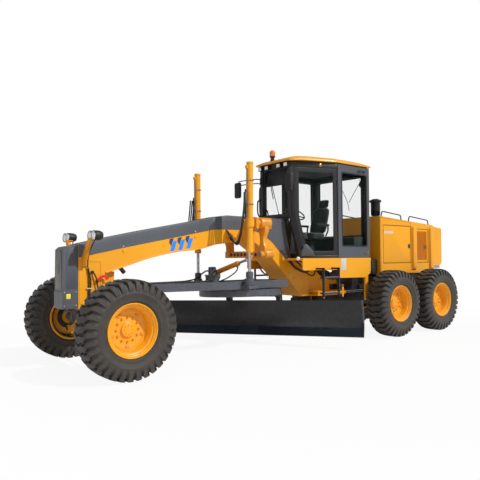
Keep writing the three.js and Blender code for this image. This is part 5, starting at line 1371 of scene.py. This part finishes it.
def add_console():
    """Column, steering wheel with three spokes, levers and a side control box."""
    column = slab(rounded([(-3932, 1602), (-4108, 1602), (-4198, 2328), (-4122, 2368), (-4012, 2300)], 40), -108, 108,
                  "y", 24)
    tilt = np.array([-70, 0, 120]) / math.hypot(70, 120)
    hub = at((-4200, 0, 2478))
    rim = turned(circle(13, 12) + [195, 0], hub, tilt, 48, ring=True)
    rows = basis(tilt)
    spokes = []
    for a in (0.3, 2.4, 4.5):
        ray = (math.cos(a) * rows[0] + math.sin(a) * rows[1]) * 0.192
        spokes.append(carried(circle(0.011, 10), [hub - tilt * 0.02, hub - tilt * 0.014 + ray * 0.5, hub + ray]))
    centre = turned([[0, -170], [32, -170], [34, -10], [44, 0], [40, 16], [0, 22]], hub, tilt, 28)
    piece("steering_column", [column, centre], PLASTIC, "front", "steering_console", sharp=30)
    piece("steering_wheel", [rim, *spokes], HOSE, "front", sharp=60)
    knobs, stems = [], []
    for y in (-75, -45, -15, 15, 45, 75):
        foot = at((-4095, y, 2350))
        stems.append(carried(circle(0.005, 8),
                             [foot, foot + np.array([-0.01, 0, 0.05]), foot + np.array([-0.02, 0, 0.09])]))
        knobs.append(turned([[0, 0], [9, 2], [12, 12], [9, 24], [0, 28]], foot + np.array([-0.02, 0, 0.088]),
                            (-0.2, 0, 1), 14))
    piece("control_levers", stems, STEEL, "front")
    piece("control_knobs", knobs, PLASTIC, "front")
    box_ = slab(rounded([(-4900, 1604), (-4420, 1604), (-4400, 2080), (-4520, 2150), (-4900, 2120)], 40), -660, -420,
                "y", 16)
    piece("side_controls", [box_], LINING, "front", sharp=30)


def add_lining():
    """Head lining, floor mat, rear shelf and blinds seen through the glass."""
    def plan(front, half):
        return rounded([(-5480, -690), (-4640, -690), (front, -half), (front, half), (-4640, 690), (-5480, 690)], 30)

    roof = slab(plan(-3740, 350), 3376, 3422, "z", 10)
    floor = slab(plan(-3910, 420), 1602, 1614, "z", 4)
    shelf = slab(rounded([(-5500, 1620), (-5150, 1620), (-5180, 2020), (-5500, 2040)], 30), -690, 690, "y", 12)
    unit = slab(rounded([(-3750, 3374), (-3970, 3374), (-3930, 3270), (-3770, 3250)], 24), -330, 330, "y", 12)
    piece("cab_lining", [roof, floor, shelf, unit], LINING, "front", sharp=30)
    monitor = slab(rounded([(-3890, 3080), (-3870, 3250), (-3900, 3250), (-3920, 3080)], 6), 200, 340, "y", 4)
    blind = slab(rect(-335, 335, 3020, 3340, 20), -3746, -3736, "x", 3)
    piece("cab_blind", [blind], PLASTIC, "front")
    piece("cab_monitor", [monitor], PLASTIC, "front")


# ------------------------------------------------------------------ steps
def add_steps():
    for label, s in SIDES:
        rungs = [block((-4360, -3965), (s * 894, s * 984), (z, z + 5), 2) for z in (963.5, 1248.5)]
        piece(f"step_grips_{label}", rungs, TREAD_PLATE, "front")
        dark = [block((x - 14, x + 14), (s * 948, s * 992), (884, 1422), 4) for x in (-3955, -4370)]
        dark += [block((x - 14, x + 14), (s * 790, s * 992), (1388, 1422), 4) for x in (-3955, -4370)]
        dark += [block((-4376, -3949), (s * 888, s * 987), (z, z + 29), 4) for z in (936, 1221)]
        dark.append(block((-4510, -4370), (s * 940, s * 984), (1070, 1092), 4))
        piece(f"ladder_{label}", dark, BLACK, "front")
        straps = [block((x - 18, x + 18), (s * 950, s * 962), (868, 1100), 3) for x in (-3970, -4496)]
        piece(f"step_straps_{label}", straps, YELLOW, "front")
        tag = slab(rect(-4790, -4640, 1360, 1590, 6), s * 800, s * 801.5, "y", 0.5)
        piece(f"skirt_blank_plate_{label}", [tag], PALE, "front")
        hoses = [tube([(-3600, s * 300, 1690), (-3640, s * 420, 1560), (-3700, s * 480, 1440), (-3900, s * 500, 1360),
                       (-4150, s * 470, 1400), (-4300, s * 400, 1480)], 20, 10),
                 tube([(-3560, s * 290, 1760), (-3600, s * 380, 1600), (-3760, s * 430, 1420), (-4000, s * 460, 1330),
                       (-4250, s * 420, 1420)], 15, 10),
                 tube([(-3620, s * 520, 1590), (-3720, s * 600, 1480), (-3900, s * 640, 1300), (-4050, s * 640, 1290),
                       (-4150, s * 600, 1480)], 14, 10)]
        piece(f"cab_hoses_{label}", hoses, HOSE, "front")
        lamp = turned([[0, 0], [30, 0], [34, 8], [34, 40], [26, 52], [0, 54]], at((-3590, s * 690, 1600)),
                      (0.6, s * 0.5, -0.2), 20)
        piece(f"low_front_lamp_{label}", [lamp], LENS, "front")


# ------------------------------------------------------------------ rear machine
DOORS = {"front": ((-7214, -6216), (1486, 2294)), "rear": ((-7909, -7441), (1486, 2244))}


def hood_top(x):
    return np.interp(x, [-8150, -6100], [2355, 2490])


def seam(outline, width, level, s):
    """A dark line where two panels meet: a thin frame let into the surface."""
    return border(outline, inset(outline, width), s * (level - 1.5), s * level, "y", 0.4)


def add_hood():
    softened("hood", YELLOW, 10, "rear")
    softened("radiator_housing", YELLOW, 14, "rear")
    softened("engine_block", DARK_GEAR, 20, "rear")
    points, faces = slab(rect(-8130, -6120, -560, 560, 30), 0, 6, "z", 2)
    points[:, 2] += hood_top(points[:, 0] / MM - FRONT_X / MM) * MM + 0.001
    piece("hood_grip_top", [(points, faces)], TREAD_PLATE, "rear")
    ribs_x = np.linspace(-8080, -6180, 24)
    rib = slab(rect(-6, 6, -540, 540, 3, 2), 0, 4, "z", 1)
    strips = repeat((rib[0] - np.array([FRONT_X, 0, 0]), rib[1]),
                    np.stack([at(np.stack([ribs_x, 0 * ribs_x, 0 * ribs_x], -1))[:, 0], 0 * ribs_x,
                                                                          (hood_top(ribs_x) + 7) * MM], -1))
    piece("hood_grip_ribs", [strips], TREAD_PLATE, "rear")
    for label, s in SIDES:
        lines = [seam(rounded([(-6120, 1262), (-7225, 1262), (-7225, hood_top(-7225) - 26),
                               (-6120, hood_top(-6120) - 26)], 20), 5, 641.5, s),
                 seam(rounded([(-6200, 1472), (-7228, 1472), (-7228, 2308), (-6200, 2308)], 14), 5, 641.8, s),
                 seam(rounded([(-7425, 1472), (-7925, 1472), (-7925, 2258), (-7425, 2258)], 14), 5, 641.8, s)]
        piece(f"hood_seams_{label}", lines, HOSE, "rear")
        arches = [slab(rect(x0 + 22, x1 - 22, 1340, 2300, 76, 8), s * 660, s * 688, "y", 14)
                  for x0, x1 in ((-7430, -7240), (-8120, -7940))]
        piece(f"hood_ribs_{label}", arches, YELLOW, "rear", sharp=60)
        rail = []
        for x0, x1 in ((-6190, -6920), (-7200, -8000)):
            z0, z1 = hood_top(x0) - 8, hood_top(x1) - 8
            rail.append(tube([(x0, s * 600, z0), (x0 - 12, s * 602, z0 + 60), (x0 - 34, s * 603, z0 + 104),
                              (x0 - 90, s * 603, z0 + 118), ((x0 + x1) / 2, s * 603, (z0 + z1) / 2 + 118),
                              (x1 + 90, s * 603, z1 + 118), (x1 + 34, s * 603, z1 + 104), (x1 + 12, s * 602, z1 + 60),
                              (x1, s * 600, z1)], 13, 12))
        piece(f"hood_handrails_{label}", rail, BLACK, "rear")
        feet = [turned([[0, 0], [28, 0], [28, 6], [18, 10], [0, 10]], at((x, s * 600, hood_top(x))), UP, 20)
                for x in (-6190, -6920, -7200, -8000)]
        piece(f"handrail_feet_{label}", feet, BLACK, "rear")
        skirt = slab(rounded([(-8140, 1246), (-6110, 1246), (-6110, 1284), (-8140, 1284)], 6), s * 640, s * 645, "y", 2)
        under = slab(rounded([(-8420, 1342), (-7990, 1342), (-7990, 1395), (-8420, 1395)], 6), s * 621, s * 630, "y", 2)
        piece(f"hood_skirt_{label}", [skirt], YELLOW_SHADED, "rear")
        piece(f"radiator_strip_{label}", [under], BLUE_GREY, "rear")


def add_hood_doors():
    for label, s in SIDES:
        for which, ((x0, x1), (z0, z1)) in DOORS.items():
            body = f"hood_door_{which}_{label}"
            outline = rect(x0 + 1, x1 - 1, z0 + 1, z1 - 1, 14)
            leaf = slab(outline, s * 604, s * 637.5, "y", 6)
            if which == "rear":
                inner = rect(x0 + 40, x1 - 40, z0 + 50, z1 - 50, 20)
                leaf = border(outline, inner, s * 606, s * 637.5, "y", 5)
                back = slab(rect(x0 + 30, x1 - 30, z0 + 40, z1 - 40, 10), s * 604, s * 610, "y", 1)
                z = np.arange(z0 + 70, z1 - 60, 22.0)
                blade_ = carried(np.array([[-11, -6], [11, 4], [11, 7], [-11, -3]]) * MM,
                                 at([(x0 + 36, s * 620, 0), (x1 - 36, s * 620, 0)]), up=UP)
                slats = repeat(blade_, np.stack([0 * z, 0 * z, z * MM], -1))
                piece(f"hood_louvres_{label}", [slats, back], YELLOW_SHADED, body, sharp=30)
            piece(f"hood_leaf_{which}_{label}", [leaf], YELLOW, body, body, sharp=30)
            hx, hz = (x0 + 60, 1850) if which == "front" else (x0 + 90, 1840)
            case = [border(pad(hx, hz, 34, 44, 12), pad(hx, hz, 24, 34, 8), s * 636, s * 644, "y", 2),
                    slab(pad(hx, hz, 26, 36, 6), s * 634, s * 638, "y", 1),
                    slab(pad(hx, hz, 12, 24, 6), s * 637, s * 643, "y", 2)]
            piece(f"hood_latch_{which}_{label}", case, PLASTIC, body)
            plate = slab(pad(hx, hz, 40, 50, 14), s * 636, s * 638.5, "y", 0.6)
            piece(f"latch_plate_{which}_{label}", [plate], STEEL if which == "front" else YELLOW, body)
            hinges = [turned([[0, -40], [9, -40], [9, 40], [0, 40]], at((x1 - 4, s * 634, z)), UP, 12)
                      for z in (z0 + 120, z1 - 120)]
            piece(f"hood_hinges_{which}_{label}", hinges, YELLOW_SHADED, body)
        blank = slab(rect(-6560, -6240, 2120, 2170, 4), s * 637.5, s * 638.5, "y", 0.3)
        piece(f"hood_blank_plate_{label}", [blank], PALE, f"hood_door_front_{label}")


def add_rear_end():
    softened("rear_frame", BLACK, 5, "rear")
    softened("tandem_axle", DARK_GEAR, 8, "rear")
    grille = border(rect(-440, 440, 1700, 2200, 40), rect(-410, 410, 1730, 2170, 30), -8698, -8699.5, "x", 0.5)
    z = np.arange(1745, 2165, 22.0)
    slat = carried(np.array([[-9, 0], [9, 0], [9, 1.2], [-9, 1.2]]) * MM, at([(-8698.6, -405, 0), (-8698.6, 405, 0)]),
                   up=AHEAD)
    piece("rear_grille", [grille, repeat(slat, np.stack([0 * z, 0 * z, z * MM], -1))], BLACK, "rear")
    for label, s in SIDES:
        lamp = slab(pad(s * 400, 1470, 60, 30, 12), -8560, -8600, "x", 4)
        piece(f"tail_lamp_case_{label}", [lamp], PLASTIC, "rear")
        lens = slab(pad(s * 400, 1470, 52, 23, 10), -8600, -8606, "x", 1.5)
        piece(f"tail_lamp_lens_{label}", [lens], RED, "rear")
        covers = [turned([[0, 0], [150, 0], [156, 6], [156, 14], [120, 20], [0, 20]], at((x, s * 830, HUB_HEIGHT)),
                         (0, s, 0), 40) for x in TANDEM]
        piece(f"chain_case_covers_{label}", covers, DARK_GEAR, "rear", sharp=30)
        ring = [(x + a, s * 846, HUB_HEIGHT + b) for x in TANDEM for a, b in circle(138, 14)]
        rim_bolts = [(x, s * 831, z) for x in np.linspace(-7200, -6160, 9) for z in (505, 843)]
        piece(f"chain_case_bolts_{label}", [bolts(ring, (0, s, 0), 10, 8), bolts(rim_bolts, (0, s, 0), 9, 7)], ZINC,
              "rear")
    base = float(hood_top(-6300)) + 6
    bowl = [[0, base], [72, base], [72, base + 118]]
    for k in range(8):
        z = base + 130 + k * 24
        bowl += [[104, z], [104, z + 12], [97, z + 14], [97, z + 22]]
    bowl += [[104, base + 326], [128, base + 336], [130, base + 342], [130, base + 366], [122, base + 374],
             [60, base + 404], [0, base + 404]]
    vanes = around(block((-6300 + 74, -6300 + 100), (373, 377), (base + 40, base + 126), 1), at((-6300, 375, 0)), UP,
                   18)
    piece("precleaner", [turned(bowl, at((-6300, 375, 0)), UP, 36), vanes], PLASTIC, "rear", "air_precleaner", sharp=30)
    guard = slab(rounded([(-5895, 1250), (-6090, 1250), (-6090, 1560), (-5895, 1560)], 30), -560, 560, "y", 10)
    piece("front_bulkhead", [guard], BLACK, "rear")


# ------------------------------------------------------------------ stage
FLOOR_HALF = 70
EYE = (7.159, 7.461, 1.633)
YAW, PITCH, ROLL = -128.47, 1.85, -0.33
SENSOR, FOCAL = 36.0, 38.9775
LAMPS = (("sun", "SUN", (-4.5, 9.0, 9.5), 0.02, 2.75), ("fill", "AREA", (13.0, 6.0, 5.0), 7.0, 200.0))
LAMP_AIM, SKY_STRENGTH = (0, 0, 1.2), 0.33


def add_stage():
    """A pale floor that is white where it is only looked at, a white sky, and two lamps."""
    floor = linked("floor", bpy.data.meshes.new("floor"))
    r = FLOOR_HALF
    floor.data.from_pydata([(-r, -r, 0), (r, -r, 0), (r, r, 0), (-r, r, 0)], [], [(0, 1, 2, 3)])
    pale = bpy.data.materials.new("pale floor")
    pale.use_nodes = True
    tree = pale.node_tree
    surface = tree.nodes["Principled BSDF"]
    surface.inputs["Base Color"].default_value = (0.86, 0.86, 0.86, 1)
    surface.inputs["Roughness"].default_value = 0.9
    rays = tree.nodes.new("ShaderNodeLightPath").outputs
    seen = maths(tree, "ADD", rays["Is Camera Ray"], rays["Is Transmission Ray"], True)
    light = put(tree, "ShaderNodeEmission", {"Color": (1, 1, 1, 1), "Strength": 1.0})
    place = tree.nodes.new("ShaderNodeTexCoord").outputs["Object"]
    far = put(tree, "ShaderNodeVectorMath", {0: place}, operation="LENGTH").outputs["Value"]
    share = maths(tree, "MULTIPLY", seen, ramp(tree, far, 4.0, 9.0, 0.9, 1.0))
    mix = put(tree, "ShaderNodeMixShader", {0: share, 1: surface.outputs[0], 2: light.outputs[0]})
    tree.links.new(mix.outputs[0], tree.nodes["Material Output"].inputs["Surface"])
    floor.data.materials.append(pale)
    floor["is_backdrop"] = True
    world = bpy.data.worlds.new("studio")
    bpy.context.scene.world = world
    world.use_nodes = True
    tree = world.node_tree
    back = tree.nodes["Background"]
    rays = tree.nodes.new("ShaderNodeLightPath").outputs
    bright = maths(tree, "MAXIMUM", rays["Is Camera Ray"], rays["Is Transmission Ray"])
    back.inputs["Color"].default_value = (1, 1, 1, 1)
    tree.links.new(ramp(tree, bright, 0.0, 1.0, SKY_STRENGTH, 1.0), back.inputs["Strength"])
    for name, kind, place, size, power in LAMPS:
        lamp = bpy.data.lights.new(name, kind)
        setattr(lamp, "angle" if kind == "SUN" else "size", size)
        lamp.energy = power
        holder = linked(name, lamp)
        holder.location = place
        holder.rotation_euler = (Vector(LAMP_AIM) - holder.location).to_track_quat("-Z", "Y").to_euler()


def add_camera():
    """The camera at the eye: its directions from yaw, pitch and roll."""
    yaw, pitch, roll = (math.radians(v) for v in (YAW, PITCH, ROLL))
    ahead = np.array([math.cos(yaw) * math.cos(pitch), math.sin(yaw) * math.cos(pitch), math.sin(pitch)])
    right = np.cross(ahead, [0, 0, 1])
    right /= np.linalg.norm(right)
    up = np.cross(right, ahead)
    right, up = right * math.cos(roll) + up * math.sin(roll), up * math.cos(roll) - right * math.sin(roll)
    lens = bpy.data.cameras.new("camera")
    lens.sensor_width, lens.lens = SENSOR, FOCAL
    lens.clip_end = 300
    holder = linked("camera", lens)
    turn = np.stack([right, up, -ahead], 1)
    holder.matrix_world = Matrix([[*turn[k], EYE[k]] for k in range(3)] + [[0, 0, 0, 1]])
    bpy.context.scene.camera = holder


for build in (add_camera, add_stage, add_wheels, add_front_frame, add_nose, add_headlamps, add_front_fittings,
              add_front_axle, add_moldboard, add_circle, add_drawbar, add_lift_cylinders, add_lift_sockets, add_saddle,
              add_shift_cylinder, add_articulation_cylinders, add_cab_shell, add_front_panes, add_cab_doors,
              add_cab_roof, add_mirrors, add_seat, add_console, add_lining, add_steps, add_hood, add_hood_doors,
              add_rear_end):
    build()

scene = bpy.context.scene
scene.view_settings.view_transform = "Standard"
plain = lambda box_: [[float(v) for v in corner] for corner in box_]
{"cad": plain(CAD_BOX), "visual": plain(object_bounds())}
